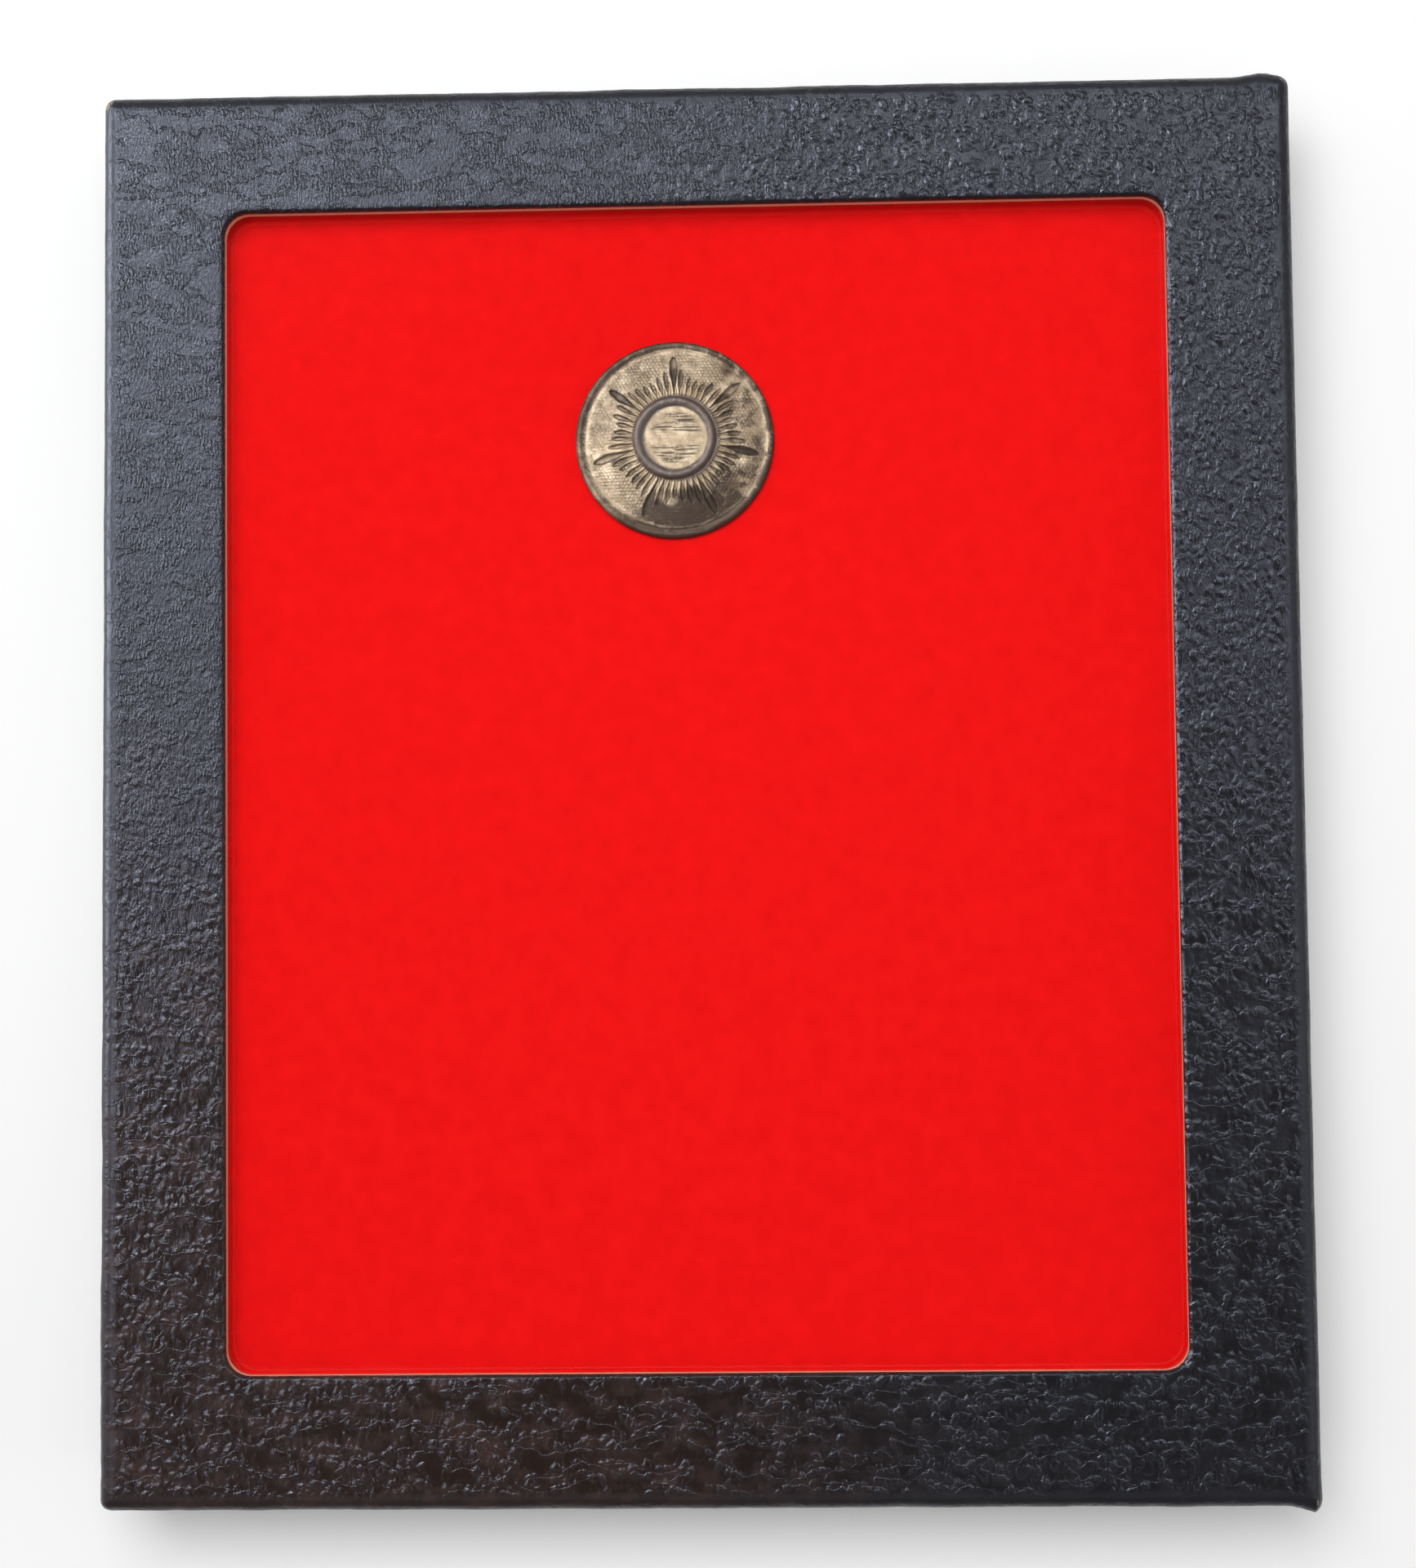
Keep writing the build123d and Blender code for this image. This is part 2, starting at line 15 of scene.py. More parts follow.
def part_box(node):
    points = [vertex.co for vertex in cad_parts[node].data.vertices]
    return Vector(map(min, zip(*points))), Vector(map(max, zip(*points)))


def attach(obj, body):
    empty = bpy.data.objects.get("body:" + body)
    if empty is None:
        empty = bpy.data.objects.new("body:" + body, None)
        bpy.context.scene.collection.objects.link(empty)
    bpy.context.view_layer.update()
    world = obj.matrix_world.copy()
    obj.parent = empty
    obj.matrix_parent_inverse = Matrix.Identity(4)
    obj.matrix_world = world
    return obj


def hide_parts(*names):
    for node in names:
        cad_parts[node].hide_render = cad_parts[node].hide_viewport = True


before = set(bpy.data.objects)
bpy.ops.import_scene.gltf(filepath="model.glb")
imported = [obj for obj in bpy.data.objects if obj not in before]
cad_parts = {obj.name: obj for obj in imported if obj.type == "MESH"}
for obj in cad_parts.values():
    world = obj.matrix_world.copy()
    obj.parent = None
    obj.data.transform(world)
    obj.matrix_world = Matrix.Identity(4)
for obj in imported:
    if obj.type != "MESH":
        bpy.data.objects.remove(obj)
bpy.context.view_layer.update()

log = logging.getLogger("display_case")

# One millimetre in Blender's metres: sizes below are in millimetres
MM = 0.001

# Two or three lengths or shares, or the two ends of a range
Pair = tuple[float, float]
Triple = tuple[float, float, float]


class Body(Enum):
    """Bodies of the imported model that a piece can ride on."""

    TRAY = "tray"
    LID = "lid"
    LEFT_PIN = "left_pin"
    RIGHT_PIN = "right_pin"


class Lights(Enum):
    """What a lamp lights."""

    MATT = "matt surfaces"
    SHEEN = "surfaces that mirror it"
    BOTH = "every surface"


def hex_linear(code: str) -> tuple[float, float, float, float]:
    """Turn an sRGB hex colour into the linear colour that shaders use.

    Args:
        code: A hash and six hex digits.

    Returns:
        Red, green, blue and an alpha of 1.
    """
    shares = [int(code[at : at + 2], 16) / 255 for at in (1, 3, 5)]
    linear = [s / 12.92 if s <= 0.04045 else ((s + 0.055) / 1.055) ** 2.4 for s in shares]
    return (*linear, 1.0)


def smoothstep(low: float, high: float, value: np.ndarray) -> np.ndarray:
    """Ease from 0 at low to 1 at high; low may be the larger one."""
    share = np.clip((value - low) / (high - low), 0.0, 1.0)
    return share * share * (3 - 2 * share)


def hump(value: np.ndarray, middle: float | np.ndarray, width: float) -> np.ndarray:
    """Bell of height 1 round a middle."""
    return np.exp(-(((value - middle) / width) ** 2))


def noise_field(points: np.ndarray, cell: float | Triple, octaves: int = 2) -> np.ndarray:
    """Smooth noise of about -1 to 1 at each point.

    Args:
        points: Positions in millimetres.
        cell: Size of the noise's features in millimetres, or a size along each axis.
        octaves: How many finer layers are added.

    Returns:
        One value a point.
    """
    scaled = points / np.array(cell)
    fall, finer = 0.6, 2.1
    return np.array([noise.fractal(Vector(p), fall, finer, octaves) for p in scaled])


def cell_field(points: np.ndarray, cell: Triple) -> np.ndarray:
    """Distance from the border between cells, 0 on it and about 0.5 at a cell's middle."""
    near = [noise.voronoi(Vector(p))[0] for p in points / np.array(cell)]
    return np.array([found[1] - found[0] for found in near])


def feed(node: Node, inputs: dict) -> None:
    """Set or link input sockets of a node.

    Args:
        node: Node that takes the inputs.
        inputs: Input sockets by name or number, each with a value, or with a socket or a node
            (then its first output) to link from.
    """
    for key, value in inputs.items():
        source = value.outputs[0] if isinstance(value, Node) else value
        if isinstance(source, NodeSocket):
            node.id_data.links.new(source, node.inputs[key])
        else:
            node.inputs[key].default_value = source


def add_node(tree: NodeTree, kind: str, inputs: dict | None = None, **settings) -> Node:
    """Add a shader node with its settings and inputs.

    Args:
        tree: Node tree that takes the node.
        kind: Blender's name of the node's type, less the ShaderNode that it begins with.
        inputs: Its inputs, as feed takes them.
        **settings: Properties of the node itself.

    Returns:
        The new node.
    """
    node = tree.nodes.new(f"ShaderNode{kind}")
    for name, value in settings.items():
        setattr(node, name, value)
    feed(node, inputs or {})
    return node


def start_material(name: str) -> tuple[Material, NodeTree, Node]:
    """Make an empty node material.

    Args:
        name: The material's name.

    Returns:
        The material, its node tree and its Principled shader, linked to the node called output.
    """
    material = bpy.data.materials.new(name)
    material.use_nodes = True
    tree = material.node_tree
    tree.nodes.clear()
    shader = add_node(tree, "BsdfPrincipled")
    add_node(tree, "OutputMaterial", {"Surface": shader}, name="output")
    return material, tree, shader


def select_only(piece: Object) -> None:
    """Make a piece the active and only selected object.

    Args:
        piece: The piece.
    """
    bpy.ops.object.select_all(action="DESELECT")
    bpy.context.view_layer.objects.active = piece
    piece.select_set(True)


@contextmanager
def editing(piece: Object) -> Iterator[None]:
    """Open one piece in edit mode, all of it selected.

    Args:
        piece: The piece.

    Yields:
        Nothing; edit mode ends with the block.
    """
    select_only(piece)
    bpy.ops.object.mode_set(mode="EDIT")
    bpy.ops.mesh.select_all(action="SELECT")
    yield
    bpy.ops.object.mode_set(mode="OBJECT")


def select_where(piece: Object, test: Callable[[bmesh.types.BMEdge], bool]) -> None:
    """Select, in edit mode, the edges that pass a test, and nothing else.

    Args:
        piece: The piece in edit mode.
        test: Tells whether an edge is wanted.
    """
    bpy.ops.mesh.select_all(action="DESELECT")
    mesh = bmesh.from_edit_mesh(piece.data)
    mesh.verts.index_update()
    for edge in mesh.edges:
        if test(edge):
            edge.select_set(True)
    bmesh.update_edit_mesh(piece.data)


def new_piece(name: str) -> Object:
    """Name the object that a primitive has just made, and put its origin at the frame's.

    Args:
        name: The piece's name.

    Returns:
        The piece.
    """
    piece = bpy.context.object
    piece.name = name
    select_only(piece)
    bpy.ops.object.transform_apply(location=True, rotation=True, scale=True)
    return piece


def read_vectors(source: bpy.types.bpy_prop_collection, key: str) -> np.ndarray:
    """Read one vector from each element of a mesh's collection.

    Args:
        source: The collection.
        key: Name of the vector.

    Returns:
        One row an element.
    """
    flat = np.empty(len(source) * 3)
    source.foreach_get(key, flat)
    return flat.reshape(-1, 3)


def points_of(piece: Object) -> np.ndarray:
    """Vertex positions of a piece in millimetres, one row each."""
    return read_vectors(piece.data.vertices, "co") / MM


def normals_of(piece: Object) -> np.ndarray:
    """Unit vertex normals of a piece, one row each."""
    return read_vectors(piece.data.vertex_normals, "vector")


def move_points(piece: Object, points: np.ndarray) -> None:
    """Write vertex positions, given in millimetres, back to a piece."""
    piece.data.vertices.foreach_set("co", (points * MM).astype(np.float32).ravel())
    piece.data.update()


def write_mark(piece: Object, name: str, values: np.ndarray) -> None:
    """Keep one number a vertex as an attribute that a material can read."""
    mark = piece.data.attributes.new(name, "FLOAT", "POINT")
    mark.data.foreach_set("value", values.astype(np.float32))


def apply_modifier(piece: Object, kind: str, **settings) -> None:
    """Add a modifier to a piece and apply it at once.

    Args:
        piece: The piece.
        kind: Blender's name of the modifier's type.
        **settings: Properties of the modifier.
    """
    select_only(piece)
    modifier = piece.modifiers.new(kind.lower(), kind)
    for name, value in settings.items():
        setattr(modifier, name, value)
    bpy.ops.object.modifier_apply(modifier=modifier.name)


def face_outwards(piece: Object) -> None:
    """Merge doubled vertices and turn every face of a closed piece outwards.

    Args:
        piece: The piece.
    """
    with editing(piece):
        bpy.ops.mesh.remove_doubles(threshold=0.002 * MM)
        bpy.ops.mesh.normals_make_consistent(inside=False)


def finish(piece: Object, material: Material, angle: float) -> None:
    """Shade a piece smooth and give it its material.

    Args:
        piece: The piece.
        material: Its material.
        angle: Edges sharper than this, in degrees, stay sharp.
    """
    select_only(piece)
    bpy.ops.object.shade_smooth_by_angle(angle=math.radians(angle))
    piece.data.materials.append(material)


def spin_section(name: str, line: list[Triple], steps: int, centre: Triple, axis: Triple) -> Object:
    """Draw a section by extruding a vertex along it and spin it into a closed piece.

    Args:
        name: The piece's name.
        line: Points of the section, from axis to axis, in metres.
        steps: Steps of the full turn.
        centre: A point on the axis, in metres.
        axis: Direction of the axis.

    Returns:
        The piece, faces outwards.
    """
    bpy.ops.mesh.primitive_plane_add(size=0.1 * MM, location=line[0])
    piece = new_piece(name)
    with editing(piece):
        bpy.ops.mesh.merge(type="CENTER")
        for before, after in zip(line, line[1:]):
            step = tuple(b - a for a, b in zip(before, after))
            bpy.ops.mesh.extrude_region_move(TRANSFORM_OT_translate={"value": step})
        bpy.ops.mesh.select_all(action="SELECT")
        bpy.ops.mesh.spin(steps=steps, angle=math.tau, center=centre, axis=axis)
    face_outwards(piece)
    return piece


def dress_node(name: str, material: Material) -> None:
    """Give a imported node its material.

    Args:
        name: The node's name.
        material: Its material.
    """
    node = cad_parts[name]
    node.data.materials.clear()
    node.data.materials.append(material)


def seat(piece: Object, body: Body, slot: str, *nodes: str) -> None:
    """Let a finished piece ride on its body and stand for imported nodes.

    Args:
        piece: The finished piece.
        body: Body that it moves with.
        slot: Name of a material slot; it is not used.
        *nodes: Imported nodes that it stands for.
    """
    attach(piece, body.value)
    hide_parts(*nodes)
    log.info("%s: %d faces on %s", piece.name, len(piece.data.polygons), body.value)


@dataclass(frozen=True)
class Ring:
    """Rounded rectangle that a sheet passes through.

    Its rows is the number of face rows between it and the ring before.
    """

    width: float
    length: float
    radius: float
    height: float
    rows: int = 1
    shift: Pair = (0.0, 0.0)


@dataclass
class RingSheet:
    """Closed band of faces bridged through rounded rectangles, as a sheet wrapped round a box."""

    name: str
    rings: list[Ring]
    corner_steps: int = 8
    width_cuts: tuple[int, int] = (15, 16)
    length_cuts: tuple[int, int] = (17, 17)

    def build(self) -> Object:
        """Model every ring, bridge each to the next and close the last to the first.

        The work is done a thousand times too large and then scaled down, because the bridge
        takes points closer than 0.01 mm for one.

        Returns:
            The finished piece, faces outwards.
        """
        bpy.ops.mesh.primitive_plane_add(size=1)
        piece = new_piece(self.name)
        with editing(piece):
            bpy.ops.mesh.delete(type="VERT")
            for number, ring in enumerate(self.rings):
                # A hundredth between rings of one height keeps their bridge from twisting
                self.add_ring(piece, ring, ring.height + 0.01 * (number % 2))
            count = len(bmesh.from_edit_mesh(piece.data).verts) // len(self.rings)
            for number, ring in enumerate(self.rings):
                self.bridge(piece, count, number, ring.rows)
            bpy.ops.mesh.select_all(action="SELECT")
            bpy.ops.transform.resize(value=(MM, MM, MM), center_override=(0, 0, 0))
        face_outwards(piece)
        return piece

    def add_ring(self, piece: Object, ring: Ring, height: float) -> None:
        """Add one ring of edges: a plane without its face, corners rounded, sides divided.

        Args:
            piece: The sheet in edit mode.
            ring: The ring.
            height: Height that it is modelled at.
        """
        centre = (*ring.shift, height)
        long_edge, straight = 20.0, 0.001
        bpy.ops.mesh.select_all(action="DESELECT")
        bpy.ops.mesh.primitive_plane_add(size=1, location=centre)
        bpy.ops.transform.resize(value=(ring.width, ring.length, 1), center_override=centre)
        bpy.ops.mesh.delete(type="ONLY_FACE")
        select_where(piece, lambda edge: edge.calc_length() > long_edge)
        bpy.ops.mesh.bevel(offset=ring.radius, segments=self.corner_steps, affect="VERTICES")
        for other, cuts in ((1, self.width_cuts), (0, self.length_cuts)):

            def along(edge: bmesh.types.BMEdge) -> bool:
                """Tell whether an edge is a side of the ring that stays level on the other axis."""
                start, end = (vertex.co for vertex in edge.verts)
                return edge.calc_length() > long_edge and abs(start[other] - end[other]) < straight

            select_where(piece, along)
            for number in cuts:
                bpy.ops.mesh.subdivide(number_cuts=number)

    def bridge(self, piece: Object, count: int, number: int, rows: int) -> None:
        """Bridge a ring to the one before it.

        Args:
            piece: The sheet in edit mode.
            count: Vertices of each ring.
            number: Number of the ring.
            rows: Rows of faces that the bridge gets.
        """
        before = (number - 1) % len(self.rings)
        wanted = [range(ring * count, (ring + 1) * count) for ring in (before, number)]

        def wanted_edge(edge: bmesh.types.BMEdge) -> bool:
            """Tell whether an edge lies in one of the two rings."""
            start, end = (vertex.index for vertex in edge.verts)
            return any(start in ring and end in ring for ring in wanted)

        select_where(piece, wanted_edge)
        bpy.ops.mesh.bridge_edge_loops(
            type="SINGLE", number_cuts=rows - 1, interpolation="LINEAR", smoothness=0.0
        )


@dataclass(frozen=True)
class EmbossedPaper:
    """Black paper covering, coated and embossed with a leather grain by a heated roller.

    Between smooth plates run bands of small ticks with round nodules along them. The plates
    reflect a lamp where it glances off the case, and elsewhere only ticks and nodules catch it.
    The dye is nearly black, has turned brown with rusty clouds towards the lower left, and
    shows the paper's pale core where corners are rubbed.
    """

    name: str = "embossed_leatherette_paper"
    dye: str = "#1a191b"
    brown: str = "#261a14"
    rust: str = "#352219"
    core: str = "#a58f78"
    sheen: str = "#dfe6fb"
    sheen_roughness: float = 0.26
    roughness_spread: float = 0.05
    pressed_roughness: float = 0.16
    bare_from: Pair = (1.0, 1.15)
    warp: float = 2.4
    warp_scale: float = 0.3
    row: Triple = (5.5, 2.4, 3.5)
    crack: Triple = (6.0, 6.0, 6.0)
    pebble: Triple = (0.95, 1.2, 1.0)
    pebble_smoothness: float = 0.3
    tick: Triple = (0.27, 0.7, 0.5)
    stroke: Triple = (0.17, 0.5, 0.35)
    tooth: Triple = (0.13, 0.13, 0.13)
    cloud: Triple = (3.0, 2.2, 3.0)

    def build(self) -> Material:
        """Make the material.

        Returns:
            The material, which reads the marks that LeatherGrain writes.
        """
        material, tree, shader = start_material(self.name)
        marks = {
            mark: add_node(tree, "Attribute", attribute_name=mark).outputs["Fac"]
            for mark in ("wrinkle", "pebble", "stroke", "press", "brown", "rubbed")
        }
        patterns = self.patterns(tree)
        shapes = self.shapes(tree, patterns)
        tones = {0: shapes["rust"], 6: hex_linear(self.brown), 7: hex_linear(self.rust)}
        warm = add_node(tree, "Mix", tones, data_type="RGBA").outputs[2]
        worn = add_node(tree, "Math", {0: patterns["tick"], 1: marks["rubbed"]}, operation="ADD")
        ends = {"Value": worn, "From Min": self.bare_from[0], "From Max": self.bare_from[1]}
        bare = add_node(tree, "MapRange", ends)
        colour = hex_linear(self.dye)
        for share, over in ((marks["brown"], warm), (bare, hex_linear(self.core))):
            tones = {0: share, 6: colour, 7: over}
            colour = add_node(tree, "Mix", tones, data_type="RGBA").outputs[2]
        ends = {"Value": shapes["worn"], "To Min": self.sheen_roughness - self.roughness_spread}
        ends |= {"To Max": self.sheen_roughness + self.roughness_spread}
        pressed = {0: marks["press"], 1: self.pressed_roughness}
        pressed |= {2: add_node(tree, "MapRange", ends)}
        rough = add_node(tree, "Math", pressed, operation="MULTIPLY_ADD")
        bump = self.relief(tree, shapes, marks)
        feed(shader, {"Base Color": colour, "Roughness": rough, "Normal": bump})
        feed(shader, {"Specular Tint": hex_linear(self.sheen)})
        return material

    def patterns(self, tree: NodeTree) -> dict[str, Node]:
        """Add the noises and cells that the grain is made of.

        Args:
            tree: The material's node tree.

        Returns:
            Each pattern's node by its name.
        """
        place = add_node(tree, "TexCoord").outputs["Object"]
        place = add_node(tree, "VectorMath", {0: place, 1: (1 / MM,) * 3}, operation="MULTIPLY")
        drift = {"Vector": place, "Scale": self.warp_scale, "Detail": 3.0}
        bend = {0: add_node(tree, "TexNoise", drift).outputs["Color"]}
        bend |= {1: (self.warp,) * 3, 2: place}
        warped = add_node(tree, "VectorMath", bend, operation="MULTIPLY_ADD")
        patterns = {}
        for name, base, size, kind in (
            ("row", warped, self.row, "TexNoise"),
            ("crack", warped, self.crack, "TexNoise"),
            ("pebble", warped, self.pebble, "TexVoronoi"),
            ("tick", place, self.tick, "TexNoise"),
            ("stroke", place, self.stroke, "TexNoise"),
            ("tooth", place, self.tooth, "TexNoise"),
            ("cloud", place, self.cloud, "TexNoise"),
        ):
            shares = tuple(1 / length for length in size)
            scaled = add_node(tree, "VectorMath", {0: base, 1: shares}, operation="MULTIPLY")
            settings = {"feature": "SMOOTH_F1"} if kind.endswith("Voronoi") else {}
            patterns[name] = add_node(tree, kind, {"Vector": scaled, "Scale": 1.0}, **settings)
        feed(patterns["pebble"], {"Smoothness": self.pebble_smoothness})
        for name in ("row", "crack"):
            folded = {0: patterns[name], 1: 0.5}
            patterns[name] = add_node(tree, "Math", folded, operation="PINGPONG")
        return patterns

    def shapes(self, tree: NodeTree, patterns: dict[str, Node]) -> dict[str, Node]:
        """Cut the patterns down to the shapes that are seen in the grain.

        Args:
            tree: The material's node tree.
            patterns: The patterns' nodes.

        Returns:
            Each shape's node by its name, 0 outside the shape and 1 inside.
        """
        shapes = {}
        # Shape, its pattern, and the pattern's values where the shape begins and is full
        for name, pattern, low, high in (
            ("valley", "row", 0.47, 0.495),
            ("band", "row", 0.42, 0.48),
            ("border", "row", 0.34, 0.47),
            ("crack", "crack", 0.488, 0.498),
            ("pebbles", "pebble", 0.7, 0.1),
            ("ticks", "tick", 0.38, 0.64),
            ("strokes", "stroke", 0.36, 0.66),
            ("tooth", "tooth", 0.2, 0.8),
            ("rust", "cloud", 0.45, 0.75),
            ("worn", "cloud", 0.3, 0.7),
        ):
            ends = {"Value": patterns[pattern], "From Min": low, "From Max": high}
            shapes[name] = add_node(tree, "MapRange", ends, interpolation_type="SMOOTHSTEP")
        # Shape that lies where two others overlap
        for name, first, second in (
            ("ticked", "band", "ticks"),
            ("beaded", "border", "pebbles"),
            ("cracked", "crack", "rust"),
        ):
            both = {0: shapes[first], 1: shapes[second]}
            shapes[name] = add_node(tree, "Math", both, operation="MULTIPLY")
        return shapes

    def relief(self, tree: NodeTree, shapes: dict, marks: dict) -> Node:
        """Add the shapes up to a relief, each where its mark lets it show.

        Args:
            tree: The material's node tree.
            shapes: The shapes' nodes.
            marks: Sockets of the marks.

        Returns:
            The bump node.
        """
        relief = 0.0
        # Shape, the mark that it follows, and its height in millimetres
        for shape, mark, height in (
            ("ticked", "stroke", 0.08),
            ("beaded", "wrinkle", 0.1),
            ("valley", "wrinkle", -0.03),
            ("cracked", "stroke", -0.09),
            ("ticks", "stroke", 0.02),
            ("pebbles", "pebble", 0.1),
            ("strokes", "stroke", 0.022),
            ("tooth", "stroke", 0.004),
        ):
            both = {0: shapes[shape], 1: marks[mark]}
            laid = {0: add_node(tree, "Math", both, operation="MULTIPLY"), 1: height, 2: relief}
            relief = add_node(tree, "Math", laid, operation="MULTIPLY_ADD")
        kept = add_node(tree, "Math", {0: 1.0, 1: marks["press"]}, operation="SUBTRACT")
        relief = add_node(tree, "Math", {0: relief, 1: kept}, operation="MULTIPLY")
        return add_node(tree, "Bump", {"Height": relief, "Distance": MM, "Strength": 1.0})


@dataclass(frozen=True)
class MatteStock:
    """Paper, board or wadding: uncoated fibre stock with a soft mottle and a faint tooth."""

    name: str
    light: str
    dark: str
    roughness: float = 0.9
    fibre_size: Triple = (0.5, 0.5, 0.12)
    tooth: float = 0.03

    def build(self) -> Material:
        """Make the material.

        Returns:
            The material: two tones of the stock, mixed by fibre noise that also gives the tooth.
        """
        material, tree, shader = start_material(self.name)
        place = add_node(tree, "TexCoord").outputs["Object"]
        shares = tuple(1 / (size * MM) for size in self.fibre_size)
        scaled = add_node(tree, "VectorMath", {0: place, 1: shares}, operation="MULTIPLY")
        fibres = add_node(tree, "TexNoise", {"Vector": scaled, "Scale": 1.0, "Detail": 4.0})
        tones = {0: fibres, 6: hex_linear(self.dark), 7: hex_linear(self.light)}
        colour = add_node(tree, "Mix", tones, data_type="RGBA").outputs[2]
        bump = add_node(tree, "Bump", {"Height": fibres, "Distance": self.tooth * MM})
        feed(shader, {"Base Color": colour, "Roughness": self.roughness, "Normal": bump})
        return material


@dataclass(frozen=True)
class PressedFelt:
    """Dyed wool felt, pressed: a matt, saturated red with a soft mottle of matted fibres."""

    name: str = "pressed_wool_felt"
    red: str = "#f81516"
    deep: str = "#ef1213"
    roughness: float = 1.0
    mottle_size: float = 2.2
    fibre_size: float = 0.22
    nap: float = 0.07

    def build(self) -> Material:
        """Make the material.

        Returns:
            The material: a mottle a few millimetres wide, and fine fibres that catch the light.
        """
        material, tree, shader = start_material(self.name)
        place = add_node(tree, "TexCoord").outputs["Object"]
        cloudy = {"Vector": place, "Scale": 1 / (self.mottle_size * MM), "Detail": 5.0}
        ends = {"Value": add_node(tree, "TexNoise", cloudy), "From Min": 0.3, "From Max": 0.7}
        mottle = add_node(tree, "MapRange", ends)
        tones = {0: mottle, 6: hex_linear(self.deep), 7: hex_linear(self.red)}
        colour = add_node(tree, "Mix", tones, data_type="RGBA").outputs[2]
        matted = {"Vector": place, "Scale": 1 / (self.fibre_size * MM), "Detail": 3.0, "Distortion": 1.2}
        fibres = add_node(tree, "TexNoise", matted)
        bump = add_node(tree, "Bump", {"Height": fibres, "Distance": self.nap * MM})
        feed(shader, {"Base Color": colour, "Roughness": self.roughness, "Normal": bump})
        feed(shader, {"Specular IOR Level": 0.0})
        return material


@dataclass(frozen=True)
class FloatGlass:
    """Clear float glass, polished on both faces, which lets the lamps through to the felt."""

    name: str = "clear_float_glass"
    ior: float = 1.5

    def build(self) -> Material:
        """Make the material.

        Returns:
            The material: clear and smooth, and open to shadow rays and to light that has
            bounced off a matt surface, so that the felt is lit once and not twice.
        """
        material, tree, shader = start_material(self.name)
        feed(shader, {"Base Color": (1.0, 1.0, 1.0, 1.0), "Roughness": 0.0, "IOR": self.ior})
        feed(shader, {"Transmission Weight": 1.0})
        clear = add_node(tree, "BsdfTransparent")
        path = add_node(tree, "LightPath")
        rays = {0: path.outputs["Is Shadow Ray"], 1: path.outputs["Is Diffuse Ray"]}
        passing = add_node(tree, "Math", rays, operation="MAXIMUM")
        mixed = add_node(tree, "MixShader", {0: passing, 1: shader, 2: clear})
        feed(tree.nodes["output"], {"Surface": mixed})
        return material


@dataclass(frozen=True)
class PatinatedBrass:
    """Stamped brass, once gilt: pale and dry where rubbed, brown where the patina has stayed, with
    painted shade in its hollows and painted highlight on its raised edges.
    """

    name: str = "stamped_patinated_brass"
    pale: str = "#bfae93"
    khaki: str = "#8f7e66"
    brown: str = "#403327"
    # Tone of hollows, bead gaps and outlines: painted shade along with the patina lodged there
    dark: str = "#302821"
    ring: str = "#5b514b"
    cloud_size: float = 1.6
    speck_size: float = 0.22
    speck_dirt: float = 0.9
    dry_from: Pair = (0.3, 0.56)
    stained_from: Pair = (0.45, 1.25)
    roughness: Pair = (0.42, 0.62)
    pitting: float = 0.03
    metallic: float = 0.55

    def build(self) -> Material:
        """Make the material.

        Returns:
            The material, which reads the marks that the button's relief writes.
        """
        material, tree, shader = start_material(self.name)
        place = add_node(tree, "TexCoord").outputs["Object"]
        sunk, patina, ring = (
            add_node(tree, "Attribute", attribute_name=mark).outputs["Fac"]
            for mark in ("sunk", "patina", "ring")
        )
        cloudy = {"Vector": place, "Scale": 1 / (self.cloud_size * MM), "Detail": 6.0}
        cloud = add_node(tree, "TexNoise", cloudy)
        specked = {"Vector": place, "Scale": 1 / (self.speck_size * MM), "Detail": 4.0}
        speck = add_node(tree, "TexNoise", specked)
        dirty = {0: speck, 1: self.speck_dirt, 2: patina}
        dirt = add_node(tree, "Math", dirty, operation="MULTIPLY_ADD")
        dry, stain = (
            add_node(tree, "MapRange", {"Value": value, "From Min": low, "From Max": high})
            for value, (low, high) in ((cloud, self.dry_from), (dirt, self.stained_from))
        )
        colour = hex_linear(self.pale)
        # The sunk mark brings in the dark tone: painted shade, with patina, in hollows, gaps and outlines
        for share, over in ((dry, self.khaki), (stain, self.brown), (sunk, self.dark), (ring, self.ring)):
            tones = {0: share, 6: colour, 7: hex_linear(over)}
            colour = add_node(tree, "Mix", tones, data_type="RGBA").outputs[2]
        ends = {"Value": speck, "From Min": 0.3, "From Max": 0.7}
        ends |= {"To Min": self.roughness[0], "To Max": self.roughness[1]}
        rough = add_node(tree, "MapRange", ends)
        bump = add_node(tree, "Bump", {"Height": speck, "Distance": self.pitting * MM})
        feed(shader, {"Base Color": colour, "Roughness": rough, "Normal": bump})
        feed(shader, {"Metallic": self.metallic})
        return material


@dataclass(frozen=True)
class PlatedSteel:
    """Drawn steel wire, nickel plated: bright, with faint lines along the drawing."""

    name: str = "nickel_plated_steel"
    nickel: str = "#c9c5bb"
    roughness: float = 0.28
    roughness_spread: float = 0.08
    line_size: Triple = (2.0, 0.05, 0.05)

    def build(self) -> Material:
        """Make the material.

        Returns:
            The material: metal whose roughness varies in fine drawn lines.
        """
        material, tree, shader = start_material(self.name)
        place = add_node(tree, "TexCoord").outputs["Object"]
        shares = tuple(1 / (size * MM) for size in self.line_size)
        scaled = add_node(tree, "VectorMath", {0: place, 1: shares}, operation="MULTIPLY")
        lines = add_node(tree, "TexNoise", {"Vector": scaled, "Scale": 1.0})
        ends = {"Value": lines, "To Min": self.roughness - self.roughness_spread}
        ends |= {"To Max": self.roughness + self.roughness_spread}
        rough = add_node(tree, "MapRange", ends)
        feed(shader, {"Base Color": hex_linear(self.nickel), "Roughness": rough, "Metallic": 1.0})
        return material


